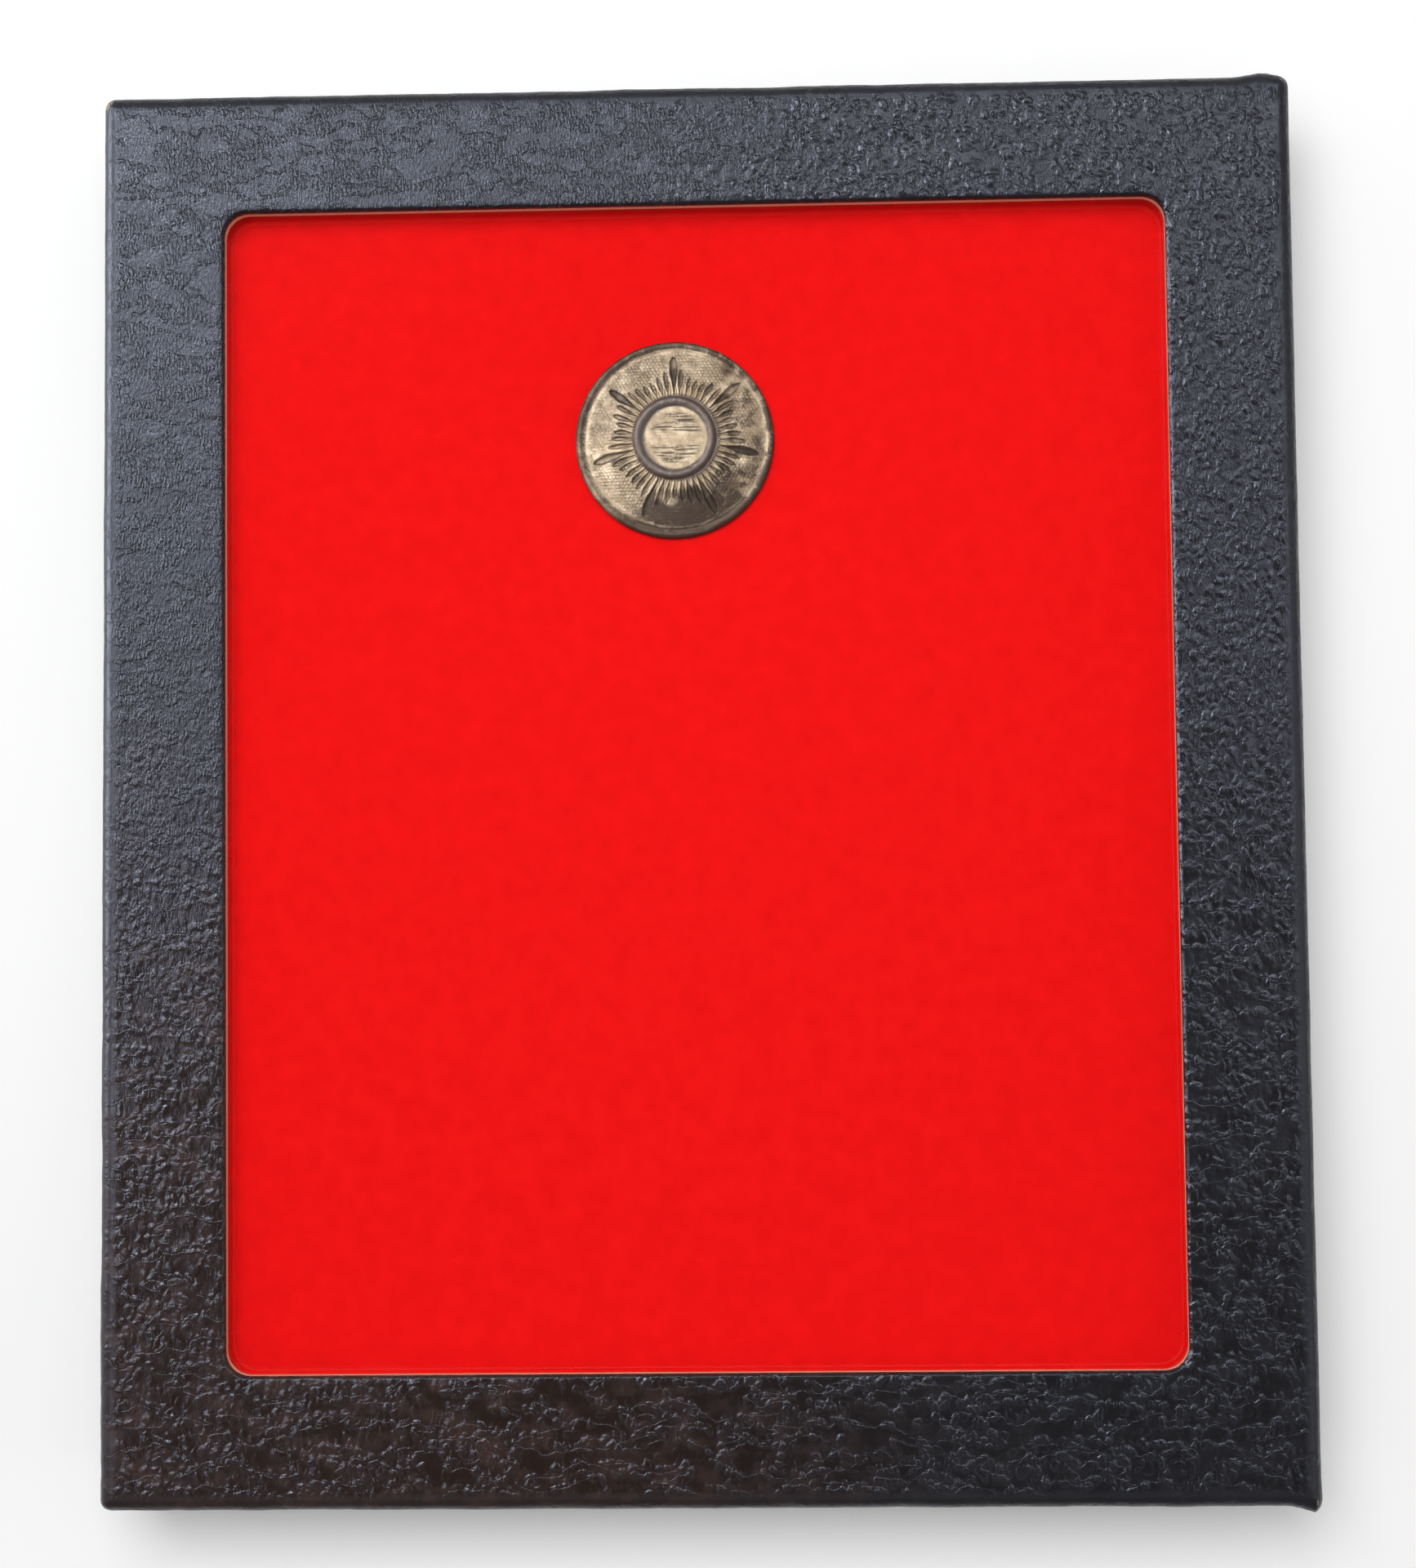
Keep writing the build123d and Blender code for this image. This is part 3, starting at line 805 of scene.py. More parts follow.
@dataclass(frozen=True)
class LeatherGrain:
    """Relief that embossing leaves in the covering, coarse enough to be in the mesh.

    Slack is how far the paper stands off the board at a side's two ends, front and back or
    left and right. Corner wear holds a corner's signs in X and Y and how much is rubbed off. A
    lump of gathered paper has its place and its push, both in X and Y.
    """

    swell: float = 0.03
    swell_size: float = 3.2
    pebble_height: float = 0.03
    pebble_cell: Triple = (1.4, 1.7, 1.5)
    warp: float = 1.1
    warp_size: float = 3.5
    fold_radius: float = 1.5
    fold_press: float = 0.65
    slack: dict[str, Pair] = field(
        default_factory=lambda: {
            "left": (0.5, 0.1),
            "right": (0.15, 0.2),
            "back": (0.35, 0.2),
            "front": (0.3, 0.35),
        }
    )
    corner_wear: tuple[Triple, ...] = ((-1, 1, 0.8), (1, 1, 0.55), (1, -1, 0.5))
    lumps: tuple[tuple[float, ...], ...] = ((66.6, 82.6, 0.0, 0.5), (69.0, -82.6, 0.15, -0.6))
    lump_size: float = 1.7
    loose_height: Pair = (12.0, 17.5)
    loose_edge: Pair = (-2.6, -0.4)
    rubbed_height: Pair = (14.0, 18.0)
    rubbed_reach: Pair = (2.0, 0.4)

    def emboss(self, piece: Object, half: Pair, top: float) -> None:
        """Move a covering's outer faces in and out along their normals and mark its regions.

        Args:
            piece: The covering's mesh.
            half: Half the covering's width and length.
            top: Height of its top face, or a low value where it has none.
        """
        points, normals = points_of(piece), normals_of(piece)
        marks = self.regions(points)
        side = np.maximum(np.abs(points[:, 0]) - half[0], np.abs(points[:, 1]) - half[1])
        rise = points[:, 2] - top
        past_side, past_top = side + self.fold_radius, rise + self.fold_radius
        skin, beside = 0.02, 0.4
        outer = (side > -skin) | (rise > -skin) | ((past_side > 0) & (past_top > 0))
        folded = (past_side > -beside) & (past_top > -beside) & ((past_side > 0) | (past_top > 0))
        marks["press"] = np.where(folded, self.fold_press, 0.0)
        height = self.relief(points, marks["pebble"]) * outer * (1 - marks["press"])
        points += normals * height[:, None]
        if top > 0:
            free = smoothstep(*self.loose_height, points[:, 2])
            points[:, :2] += self.loosened(points, half) * free[:, None]
        move_points(piece, points)
        marks["rubbed"] = self.rubbed(points, half)
        for name, values in marks.items():
            write_mark(piece, name, values)

    def regions(self, points: np.ndarray) -> dict[str, np.ndarray]:
        """Work out how strong each kind of grain is.

        The lower half is wrinkled in rows, the upper left has fine strokes, the upper right
        round nodules, and the middle left some of them. The lower left has turned brown.

        Args:
            points: Vertex positions in millimetres.

        Returns:
            The marks by name, one value a vertex.
        """
        drift = noise_field(points, 14.0)
        x, y = points[:, 0], points[:, 1]
        low_half = 1 - smoothstep(-40.0, 30.0, y - 0.12 * x + 9 * drift)
        right = smoothstep(-28.0, 20.0, x + 10 * drift)
        upper_right = (1 - low_half) * right
        middle_left = 4 * low_half * (1 - low_half) * (1 - right)
        return {
            "pebble": 0.05 + 0.25 * low_half + 0.35 * middle_left + 0.95 * upper_right,
            "wrinkle": 0.12 + 0.8 * low_half + 0.08 * upper_right,
            "stroke": 1 - 0.85 * low_half - 0.6 * upper_right,
            "brown": smoothstep(45.0, -25.0, x + 8 * drift) * smoothstep(25.0, -55.0, y + 8 * drift),
        }

    def relief(self, points: np.ndarray, pebble: np.ndarray) -> np.ndarray:
        """Work out the coarse relief: a soft swell with low domes.

        Args:
            points: Vertex positions in millimetres.
            pebble: How strong the domes are, a value a vertex.

        Returns:
            Height of each vertex over the plain paper, in millimetres.
        """
        shifts = (0.0, 31.0, 67.0)
        warp = np.stack([noise_field(points + shift, self.warp_size) for shift in shifts], 1)
        dome = np.clip(cell_field(points + self.warp * warp, self.pebble_cell), 0, 0.5)
        swell = self.swell * noise_field(points, self.swell_size)
        return swell + self.pebble_height * (dome * 2 - 0.5) * pebble

    def loosened(self, points: np.ndarray, half: Pair) -> np.ndarray:
        """Work out how far the paper stands off the board along each edge and at the corners.

        Args:
            points: Vertex positions in millimetres.
            half: Half the covering's width and length.

        Returns:
            Shift of each vertex along X and Y, in millimetres.
        """
        uneven = 1 + 0.25 * noise_field(points, 7.0, 3)
        shift = np.zeros((len(points), 2))
        for axis, names in enumerate((("left", "right"), ("front", "back"))):
            across = points[:, axis]
            along = points[:, 1 - axis] / half[1 - axis] / 2 + 0.5
            outwards = smoothstep(*self.loose_edge, np.abs(across) - half[axis]) * uneven
            for name, sign in zip(names, (-1, 1)):
                start, end = self.slack[name]
                shift[:, axis] += sign * outwards * (sign * across > 0) * (start + (end - start) * along)
        for lump_x, lump_y, *push in self.lumps:
            near = np.hypot(points[:, 0] - lump_x, points[:, 1] - lump_y)
            gathered = hump(near, 0.0, self.lump_size) * (0.9 + 0.5 * noise_field(points, 1.2))
            shift += gathered[:, None] * np.array(push)
        return shift

    def rubbed(self, points: np.ndarray, half: Pair) -> np.ndarray:
        """Work out how much of the coating is rubbed off at the top corners.

        Args:
            points: Vertex positions in millimetres.
            half: Half the covering's width and length.

        Returns:
            Wear of each vertex, 0 to 1.
        """
        worn = np.zeros(len(points))
        for side_x, side_y, wear in self.corner_wear:
            near = np.hypot(points[:, 0] - side_x * half[0], points[:, 1] - side_y * half[1])
            worn += wear * smoothstep(*self.rubbed_reach, near)
        return np.clip(worn * smoothstep(*self.rubbed_height, points[:, 2]), 0, 1)


@dataclass
class CoveredBoard:
    """Folded board with paper wrapped round it, over its free edge and back along its inside."""

    width: float
    length: float
    top: float
    cover: float = 0.35
    board: float = 1.9
    corner: float = 1.3
    inner_corner: float = 0.3
    free_edge: float = 0.25
    glue: float = 0.05
    inner_fold: float = 0.8

    @property
    def wall(self) -> float:
        """Thickness of the wall: covering and board."""
        return self.cover + self.board

    def outline(self, inset: float, height: float, rows: int = 1, inner: bool = False) -> Ring:
        """Ring round the outside, moved inwards by inset; an inner one has the inside's corners."""
        radius = self.inner_corner if inner else max(self.corner - inset, 0.1)
        return Ring(self.width - 2 * inset, self.length - 2 * inset, radius, height, rows)

    def wrap(self, sheet: RingSheet, paper: Material, top: float, body: Body, node: str) -> None:
        """Build the covering, emboss it and seat it.

        Args:
            sheet: The covering as rings.
            paper: The covering's material.
            top: Height of its top face, or a low value where it has none.
            body: Body that it moves with.
            node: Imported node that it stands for.
        """
        covering = sheet.build()
        LeatherGrain().emboss(covering, (self.width / 2, self.length / 2), top)
        finish(covering, paper, 60)
        seat(covering, body, "leatherette_paper", node)


@dataclass
class Lid(CoveredBoard):
    """Glazed lid: folded board, embossed covering, glass and the strips that hold it."""

    width: float = 139.7
    length: float = 165.1
    top: float = 19.05
    rim: float = 0.8
    fold: float = 1.5
    fold_flatness: float = 1.2
    fold_steps: int = 6
    border: tuple[float, float, float, float] = (14.2, 14.5, 13.8, 15.0)
    window_radius: float = 2.9
    edge_roll: float = 0.25
    edge_steps: int = 4
    edge_cover: float = 1.0
    edge_proud: float = 0.1
    turn_in: float = 8.0

    def build(self, paper: Material) -> None:
        """Model the covering and dress the lid's other pieces.

        Args:
            paper: The covering's material.
        """
        rings = self.over() + self.under()
        self.wrap(RingSheet("leatherette_lid_covering", rings), paper, self.top, Body.LID, "lid_covering")
        board = MatteStock("cut_greyboard", "#e2d2ae", "#c6b188", fibre_size=(1.6, 1.6, 0.12))
        dress_node("lid_board", board.build())
        dress_node("glass_pane", FloatGlass().build())
        kraft = MatteStock("kraft_stay_paper", "#b08a5c", "#97744a").build()
        gummed = MatteStock("gummed_paper_strip", "#b7935f", "#9d7b4c").build()
        for corner in ("front_left", "front_right", "back_left", "back_right"):
            dress_node(f"lid_stay_{corner}", kraft)
            dress_node(f"base_stay_{corner}", kraft)
        for side in ("left", "right", "front", "back"):
            dress_node(f"glass_strip_{side}", gummed)

    def window(self, grow: float, height: float) -> Ring:
        """Make a ring round the window.

        Args:
            grow: How far it is moved outwards.
            height: Its height.

        Returns:
            The ring.
        """
        left, right, back, front = self.border
        width = self.width - left - right + 2 * grow
        length = self.length - back - front + 2 * grow
        shift = ((left - right) / 2, (front - back) / 2)
        return Ring(width, length, self.window_radius + grow, height, shift=shift)

    def over(self) -> list[Ring]:
        """Lay the covering from the window's edge over the top to the fold.

        Returns:
            The rings.
        """
        # Proud of the board's cut edge, which the glue holds it to
        depths = (self.edge_cover, self.edge_roll)
        rings = [self.window(-self.edge_proud, self.top - depth) for depth in depths]
        for step in range(1, self.edge_steps + 1):
            turn = math.pi / 2 * step / self.edge_steps
            grow = self.edge_roll * (1 - math.cos(turn))
            rings.append(self.window(grow, self.top - self.edge_roll * (1 - math.sin(turn))))
        for step in range(self.fold_steps + 1):
            turn = math.pi / 2 * step / self.fold_steps
            inset = self.fold * (1 - math.sin(turn) ** self.fold_flatness)
            height = self.top - self.fold * (1 - math.cos(turn) ** self.fold_flatness)
            rings.append(self.outline(inset, height, 26 if step == 0 else 1))
        return rings

    def under(self) -> list[Ring]:
        """Lay the covering down the wall, round the rim, up the inside and back along the board.

        Returns:
            The rings.
        """
        below = self.top - self.cover
        turned = self.rim + self.turn_in
        return [
            self.outline(0, self.rim + self.free_edge, 18),
            self.outline(self.free_edge, self.rim),
            self.outline(self.wall + self.cover, self.rim, inner=True),
            self.outline(self.wall + self.cover, turned, 3, inner=True),
            self.outline(self.wall, turned, inner=True),
            self.outline(self.wall, self.rim + self.cover, inner=True),
            self.outline(self.cover + self.glue, self.rim + self.cover),
            self.outline(self.cover + self.glue, below - self.inner_fold),
            self.outline(self.cover + self.inner_fold, below - self.glue),
        ]


@dataclass
class Tray(CoveredBoard):
    """Shallow tray: folded board, covering, backing sheet, fibre filling and felt."""

    width: float = 133.5
    length: float = 158.9
    top: float = 14.05
    bottom: float = 0.3
    fold: float = 1.2
    fold_steps: int = 4
    turn_in: float = 7.0
    turn_under: float = 12.0
    filling_clear: float = 0.4
    filling_rounding: float = 2.5
    filling_voxel: float = 1.7
    filling_puff: float = 0.35
    filling_hollow: float = 2.3
    felt_gap: float = 0.4
    felt_top: float = 14.05
    felt_thickness: float = 1.0
    felt_slope: float = 8.5
    felt_slope_power: float = 1.25

    def build(self, button: "Button", paper: Material) -> None:
        """Model the covering, the filling and the felt.

        Args:
            button: The button that presses its hollow into filling and felt.
            paper: The covering's material.
        """
        cuts = {"corner_steps": 4, "width_cuts": (9, 15), "length_cuts": (11, 15)}
        sheet = RingSheet("leatherette_tray_covering", self.rings(), **cuts)
        self.wrap(sheet, paper, -100.0, Body.TRAY, "base_covering")
        self.fill(button)
        self.lay_felt(button)
        dress_node("base_board", MatteStock("greyboard", "#b7a68f", "#9a8a76").build())
        backing = MatteStock("backing_paper", "#26262a", "#1a1a1d", tooth=0.02)
        dress_node("backing_sheet", backing.build())

    def rings(self) -> list[Ring]:
        """Lay the covering from the turn-in over the rim, down the wall and under the floor.

        Returns:
            The rings.
        """
        low = self.bottom + self.cover
        rings = [
            self.outline(self.wall, self.top - self.turn_in, inner=True),
            self.outline(self.wall + self.cover, self.top - self.turn_in, inner=True),
            self.outline(self.wall + self.cover, self.top - self.free_edge, 3, inner=True),
            self.outline(self.wall + self.cover - self.free_edge, self.top, inner=True),
            self.outline(self.free_edge, self.top),
            self.outline(0, self.top - self.free_edge),
        ]
        for step in range(self.fold_steps + 1):
            turn = math.pi / 2 * step / self.fold_steps
            inset = self.fold * (1 - math.cos(turn))
            height = self.bottom + self.fold * (1 - math.sin(turn))
            rings.append(self.outline(inset, height, 14 if step == 0 else 1))
        return rings + [
            self.outline(self.turn_under, self.bottom, 2, inner=True),
            self.outline(self.turn_under, low, inner=True),
            self.outline(self.cover + self.inner_fold, low),
            self.outline(self.cover + self.glue, low + self.inner_fold),
            self.outline(self.cover + self.glue, self.top - self.cover),
            self.outline(self.wall, self.top - self.cover, inner=True),
        ]

    def fill(self, button: "Button") -> None:
        """Model the fibre filling as a soft pad under the felt.

        Args:
            button: The button that presses its hollow.
        """
        low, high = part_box("fibre_filling")
        middle = (low + high) / 2
        bpy.ops.mesh.primitive_cube_add(size=1, location=middle)
        piece = new_piece("fibre_filling_pad")
        with editing(piece):
            size = [side - self.filling_clear * MM for side in high - low]
            bpy.ops.transform.resize(value=size, center_override=middle)
            bpy.ops.mesh.bevel(offset=self.filling_rounding * MM, segments=3, affect="EDGES")
            bpy.ops.mesh.select_all(action="SELECT")
            bpy.ops.mesh.quads_convert_to_tris()
        apply_modifier(piece, "REMESH", mode="VOXEL", voxel_size=self.filling_voxel * MM)
        points = points_of(piece)
        puff = self.filling_puff * (noise_field(points, (9.0, 9.0, 6.0)) - 1)
        moved = points + normals_of(piece) * puff[:, None]
        # Pressed in most under the button, and not at the pad's underside
        press = smoothstep(28.0, 12.0, button.reach(points)) * smoothstep(7.0, 12.5, points[:, 2])
        moved[:, 2] -= self.filling_hollow * press
        move_points(piece, moved)
        wadding = MatteStock("polyester_wadding", "#f4f3ee", "#d8d6cf", 1.0, (1.2, 1.2, 1.2), 0.4)
        finish(piece, wadding.build(), 180)
        seat(piece, Body.TRAY, "polyester_fibre", "fibre_filling")

    def lay_felt(self, button: "Button") -> None:
        """Lay the felt over the filling, hollowed by the button.

        Args:
            button: The button that presses the hollow.
        """
        inset = 2 * (2 * self.cover + self.board + self.felt_gap)
        width, length = self.width - inset, self.length - inset
        bpy.ops.mesh.primitive_grid_add(
            x_subdivisions=170, y_subdivisions=204, size=1, location=(0, 0, self.felt_top * MM)
        )
        piece = new_piece("red_felt")
        with editing(piece):
            bpy.ops.transform.resize(value=(width * MM, length * MM, 1), center_override=(0, 0, 0))
        points = points_of(piece)
        reach = button.reach(points)
        off_rim = np.clip(reach - button.radius - 0.2, 0, None)
        dip = np.exp(-((off_rim / self.felt_slope) ** self.felt_slope_power))
        dip *= self.felt_top - button.base
        # Long waves of the filling below, and the felt's own fine unevenness
        waves = 0.09 * noise_field(points, 30.0, 1) + 0.02 * noise_field(points, 2.5)
        points[:, 2] -= dip + np.clip(waves + 0.08, 0, 0.3) * smoothstep(10.0, 24.0, reach)
        move_points(piece, points)
        apply_modifier(piece, "SOLIDIFY", thickness=self.felt_thickness * MM, offset=-1.0)
        face_outwards(piece)
        finish(piece, PressedFelt().build(), 60)
        seat(piece, Body.TRAY, "red_felt", "felt_sheet")


@dataclass
class Button:
    """Domed, stamped button with a sunburst, a raised ring and a plain lined disc.

    Heights are over the rim's underside. The first ray's bearing is in degrees.
    """

    radius: float = 11.85
    base: float = 11.9
    height: float = 2.6
    sheet: float = 0.5
    dome_edge: float = 10.85
    dome_start: float = 0.85
    dome_apex: float = 2.35
    ring_outer: float = 4.95
    ring_inner: float = 3.85
    disc_height: float = 2.3
    strike_shift: Pair = (0.22, 0.02)
    long_rays: int = 7
    short_rays: int = 6
    first_ray: float = 92.0
    bead_pitch: float = 0.44
    turn_steps: int = 560

    @property
    def centre(self) -> Pair:
        """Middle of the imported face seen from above, in millimetres."""
        low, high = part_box("button_face")
        return (low.x + high.x) / 2 / MM, (low.y + high.y) / 2 / MM

    def reach(self, points: np.ndarray) -> np.ndarray:
        """Distance of points from the middle seen from above, in millimetres."""
        return np.hypot(points[:, 0] - self.centre[0], points[:, 1] - self.centre[1])

    def build(self) -> None:
        """Model the face by spinning its section, then strike the relief into it."""
        x, y = self.centre
        line = [((x + reach) * MM, y * MM, (self.base + up) * MM) for reach, up in self.section()]
        centre = (x * MM, y * MM, 0)
        piece = spin_section("stamped_button_face", line, self.turn_steps, centre, (0, 0, 1))
        self.strike(piece)
        finish(piece, PatinatedBrass().build(), 70)
        seat(piece, Body.TRAY, "tarnished_brass", "button_face")
        dress_node("button_shank", PlatedSteel("tinned_brass_wire", "#a8946a", 0.4).build())

    def section(self) -> list[Pair]:
        """Draw the face's section from the middle of its top round the rim to its underside.

        Returns:
            Radius and height of each point in millimetres.
        """
        line = [(reach, self.top_height(reach)) for reach in np.linspace(0, self.dome_edge, 110)]
        bead = (self.radius - self.dome_edge) / 2
        for turn in np.radians(np.linspace(125, -90, 12)):
            line.append((self.radius - bead + bead * math.cos(turn), bead + bead * math.sin(turn)))
        return line + [
            (self.dome_edge - 0.1, 0.1),
            (self.dome_edge - self.sheet, self.dome_start - self.sheet),
            (self.ring_inner - self.sheet, self.disc_height - self.sheet),
            (0.0, self.disc_height - self.sheet),
        ]

    def top_height(self, reach: float) -> float:
        """Work out the height of the plain, unstruck face.

        Args:
            reach: Distance from the middle in millimetres.

        Returns:
            The height in millimetres.
        """
        if reach < self.ring_inner:
            return self.disc_height
        if reach < self.ring_outer:
            share = (reach - self.ring_inner) / (self.ring_outer - self.ring_inner)
            foot = self.disc_height + (self.dome(self.ring_outer) - self.disc_height) * share
            return foot + (self.height - foot) * math.sin(math.pi * share) ** 0.6
        return float(self.dome(reach))

    def dome(self, reach: np.ndarray | float) -> np.ndarray | float:
        """Work out the height of the domed field.

        Args:
            reach: Distance from the middle in millimetres.

        Returns:
            The height in millimetres, one for each distance.
        """
        rise = self.dome_apex - self.dome_start
        sphere = (self.dome_edge**2 + rise**2) / (2 * rise)
        return self.dome_apex - sphere + np.sqrt(sphere**2 - np.minimum(reach, self.dome_edge) ** 2)

    def strike(self, piece: Object) -> None:
        """Press rays, beads, disc lines and dents into the face, and mark its patina, painted shade in
        its hollows and painted highlight on its raised edges.

        Places are given by reach, in millimetres from the struck centre, and by bearing, in
        degrees from +X towards +Y.

        Args:
            piece: The plain face.
        """
        points = points_of(piece)
        x = points[:, 0] - self.centre[0] - self.strike_shift[0]
        y = points[:, 1] - self.centre[1] - self.strike_shift[1]
        z = points[:, 2] - self.base
        reach, turn = np.hypot(x, y), np.degrees(np.arctan2(y, x))
        uneven = noise_field(points, 1.3, 3)
        worn = noise_field(points, 2.6)

        def towards(bearing: float, full: float, none: float) -> np.ndarray:
            """Ease from 1 within full degrees of a bearing to 0 at none degrees."""
            return smoothstep(none, full, np.abs((turn - bearing + 180) % 360 - 180) + 14 * uneven)

        # The face's parts
        face = z > self.dome(reach) - self.sheet / 2
        domed = face & (reach > self.ring_outer + 0.1) & (reach < self.dome_edge - 0.35)
        disc = face & (reach < self.ring_inner - 0.1)
        ring = smoothstep(self.ring_inner - 0.1, self.ring_inner + 0.15, reach)
        ring *= smoothstep(self.ring_outer + 0.2, self.ring_outer - 0.05, reach)
        rim = smoothstep(self.dome_edge - 0.05, self.dome_edge + 0.12, reach)
        lip = hump(reach, self.dome_edge - 0.28, 0.14) * face

        # Patches where the patina has stayed
        blotch = smoothstep(-0.5, 0.15, worn + 0.5 * uneven)
        low_patch = towards(-86.0, 18.0, 50.0) * smoothstep(6.4, 8.4, reach + 1.5 * worn)
        right_patch = towards(-44.0, 8.0, 44.0) * smoothstep(5.6, 8.0, reach + worn) * blotch
        speckle = smoothstep(-0.1, 0.5, uneven) * towards(12.0, 40.0, 80.0)

        # What is struck into it
        sunk, ridge = self.rays(reach, turn, uneven)
        beads = self.beads(x + 0.06 * uneven, y) * smoothstep(-0.75, 0.1, worn) * (1 - sunk)
        beads *= smoothstep(self.ring_outer + 0.9, self.ring_outer + 1.7, reach) * (1 - 0.7 * low_patch)
        streak = noise_field(np.stack([x, y, 0 * x], 1), (2.8, 0.16, 1.0))
        lined = smoothstep(0.7, 0.9, np.abs(y + 0.15)) * smoothstep(3.4, 2.8, reach)
        streak = smoothstep(-0.05, 0.2, streak) * lined
        dent = hump(turn, 52.5, 4.6) * hump(reach, 10.8, 0.75)
        second = hump(turn, 44.0, 2.4) * hump(reach, 11.2, 0.55)

        # Relief in millimetres
        height = np.where(domed, -0.3 * sunk + 0.12 * ridge * (1 - sunk) + 0.08 * beads, 0.0)
        height -= np.where(disc, 0.03 * streak, 0.0)
        height += 0.08 * lip * (0.6 + 0.4 * uneven)
        height -= (0.5 * dent + 0.35 * second) * (z > 0.4)
        height += (0.03 * worn + 0.02 * uneven + 0.05 * uneven * ring) * face
        height += 0.06 * uneven * (reach > self.dome_edge) * (z > 0.3)
        points[:, 2] += height
        move_points(piece, points)

        # Marks for the material: the patina, and the dark of hollows, gaps and outlines, which is painted
        # shade along with patina lodged there
        patina = 0.14 + 0.22 * uneven + 0.75 * low_patch + 0.45 * right_patch + 0.35 * speckle
        patina += 0.22 * towards(135.0, 20.0, 75.0) - 0.12 * towards(212.0, 15.0, 45.0)
        # Darker on the rim, as patina and painted shade; paler on the lip and the ridges, as rubbed wear
        # and painted highlight
        patina += 0.9 * ring + 0.5 * rim - 0.4 * lip - 0.45 * ridge * domed * (1 - 0.5 * low_patch)
        gaps = smoothstep(0.45, 0.05, beads) * smoothstep(-0.6, 0.1, worn) * (1 - 0.7 * low_patch)
        gaps *= reach > self.ring_outer + 1.2
        outline = hump(sunk, 0.25, 0.22) * (sunk > 0.02)
        shade_patina_and_lines = (0.5 * outline + 0.4 * sunk) * domed + np.where(domed, 0.55 * gaps * (1 - ridge), 0.0)
        shade_patina_and_lines += 0.8 * hump(reach, self.ring_outer + 0.18, 0.14) * face
        shade_patina_and_lines += 0.5 * hump(reach, self.ring_inner - 0.1, 0.1) * face
        shade_patina_and_lines += np.where(disc, 0.85 * streak, 0.0) + 0.6 * (dent + second) * (z > 0.4)
        write_mark(piece, "patina", np.clip(np.where(disc, 0.0, patina), 0, 1.2))
        write_mark(piece, "sunk", np.clip(shade_patina_and_lines, 0, 1))
        write_mark(piece, "ring", ring * face)

    def rays(
        self, reach: np.ndarray, turn: np.ndarray, uneven: np.ndarray
    ) -> tuple[np.ndarray, np.ndarray]:
        """Work out the sunk rays and the ridges beside them.

        Args:
            reach: Distance from the struck centre in millimetres, a value a vertex.
            turn: Bearing from it in degrees.
            uneven: Noise that makes the rays' outlines irregular.

        Returns:
            Depth of the rays and height of the ridges, both 0 to 1.
        """
        sunk, ridge = np.zeros(len(reach)), np.zeros(len(reach))
        start = self.ring_outer + 0.35
        for ray in range(self.long_rays):
            for number in range(self.short_rays + 1):
                is_long = number == 0
                chance = noise.noise(Vector((ray * 3.17, number * 1.71, 5.3)))
                angle = self.first_ray + (ray + number / (self.short_rays + 1)) * 360 / self.long_rays
                angle += 1.6 * chance
                steps_in = min(number, self.short_rays + 1 - number)
                end = (10.05 if is_long else 8.6 - 0.42 * steps_in) + 0.5 * chance
                wide = 0.43 if is_long else 0.25 + 0.1 * chance
                depth = 1.0 if is_long else 0.65 + 0.3 * chance
                fatness = 1.8 if is_long else 1.5
                along = (turn - angle + 180) % 360 - 180
                across = np.abs(np.radians(along)) * reach
                run = (reach - start) / (end - start)
                shape = np.sin(np.pi * np.clip(run, 0, 1) ** fatness) ** 0.75 + 0.1
                half = np.maximum(wide * shape * (1 + 0.25 * uneven), 0.05)
                inside = (run > 0) & (run < 1)
                sunk = np.maximum(sunk, depth * np.clip(1.25 - (across / half) ** 2, 0, 1) * inside)
                ridge = np.maximum(ridge, hump(across, half + 0.1, 0.1) * smoothstep(0.85, 0.45, run))
        return sunk, ridge

    def beads(self, x: np.ndarray, y: np.ndarray) -> np.ndarray:
        """Work out the round beads, in rows that are offset by half a bead.

        Args:
            x: Place across in millimetres, a value a vertex.
            y: Place along in millimetres.

        Returns:
            Height of the beads, 0 to 1.
        """
        row = math.sqrt(3) / 2 * self.bead_pitch
        number = np.round(y / row)
        offset = np.where(number % 2 == 0, 0.0, self.bead_pitch / 2)
        column = np.round((x - offset) / self.bead_pitch) * self.bead_pitch + offset
        return np.clip(1 - (np.hypot(x - column, y - number * row) / (0.52 * self.bead_pitch)) ** 2, 0, 1)


@dataclass
class SidePins:
    """Two headed pins that hold the lid to the tray."""

    diameter: float = 0.7
    head: float = 1.8
    head_thickness: float = 0.4
    length: float = 14.0
    point: float = 1.6
    height: float = 7.5
    half_width: float = 69.85

    def build(self) -> None:
        """Model both pins, each by spinning its section round its own axis."""
        steel = PlatedSteel().build()
        centre = (0, 0, self.height * MM)
        for side, body in ((-1, Body.LEFT_PIN), (1, Body.RIGHT_PIN)):
            line = [
                (side * (self.half_width + out) * MM, 0.0, (self.height + up) * MM)
                for out, up in self.section()
            ]
            piece = spin_section(f"plated_{body.value}", line, 32, centre, (1, 0, 0))
            finish(piece, steel, 40)
            seat(piece, body, "plated_steel", body.value)

    def section(self) -> list[Pair]:
        """Draw a pin's section from the head's top to the point.

        Returns:
            How far each point stands out of the case's side and off the axis, in millimetres.
        """
        shaft, head, thick = self.diameter / 2, self.head / 2, self.head_thickness
        return [
            (thick, 0.0),
            (thick * 0.95, head * 0.45),
            (thick * 0.7, head * 0.8),
            (thick * 0.4, head),
            (0.1, head * 0.97),
            (0.02, head * 0.85),
            (0.0, shaft * 1.2),
            (-0.1, shaft),
            (self.point - self.length, shaft),
            (0.5 - self.length, shaft * 0.4),
            (0.1 - self.length, shaft * 0.12),
            (-self.length, 0.0),
        ]


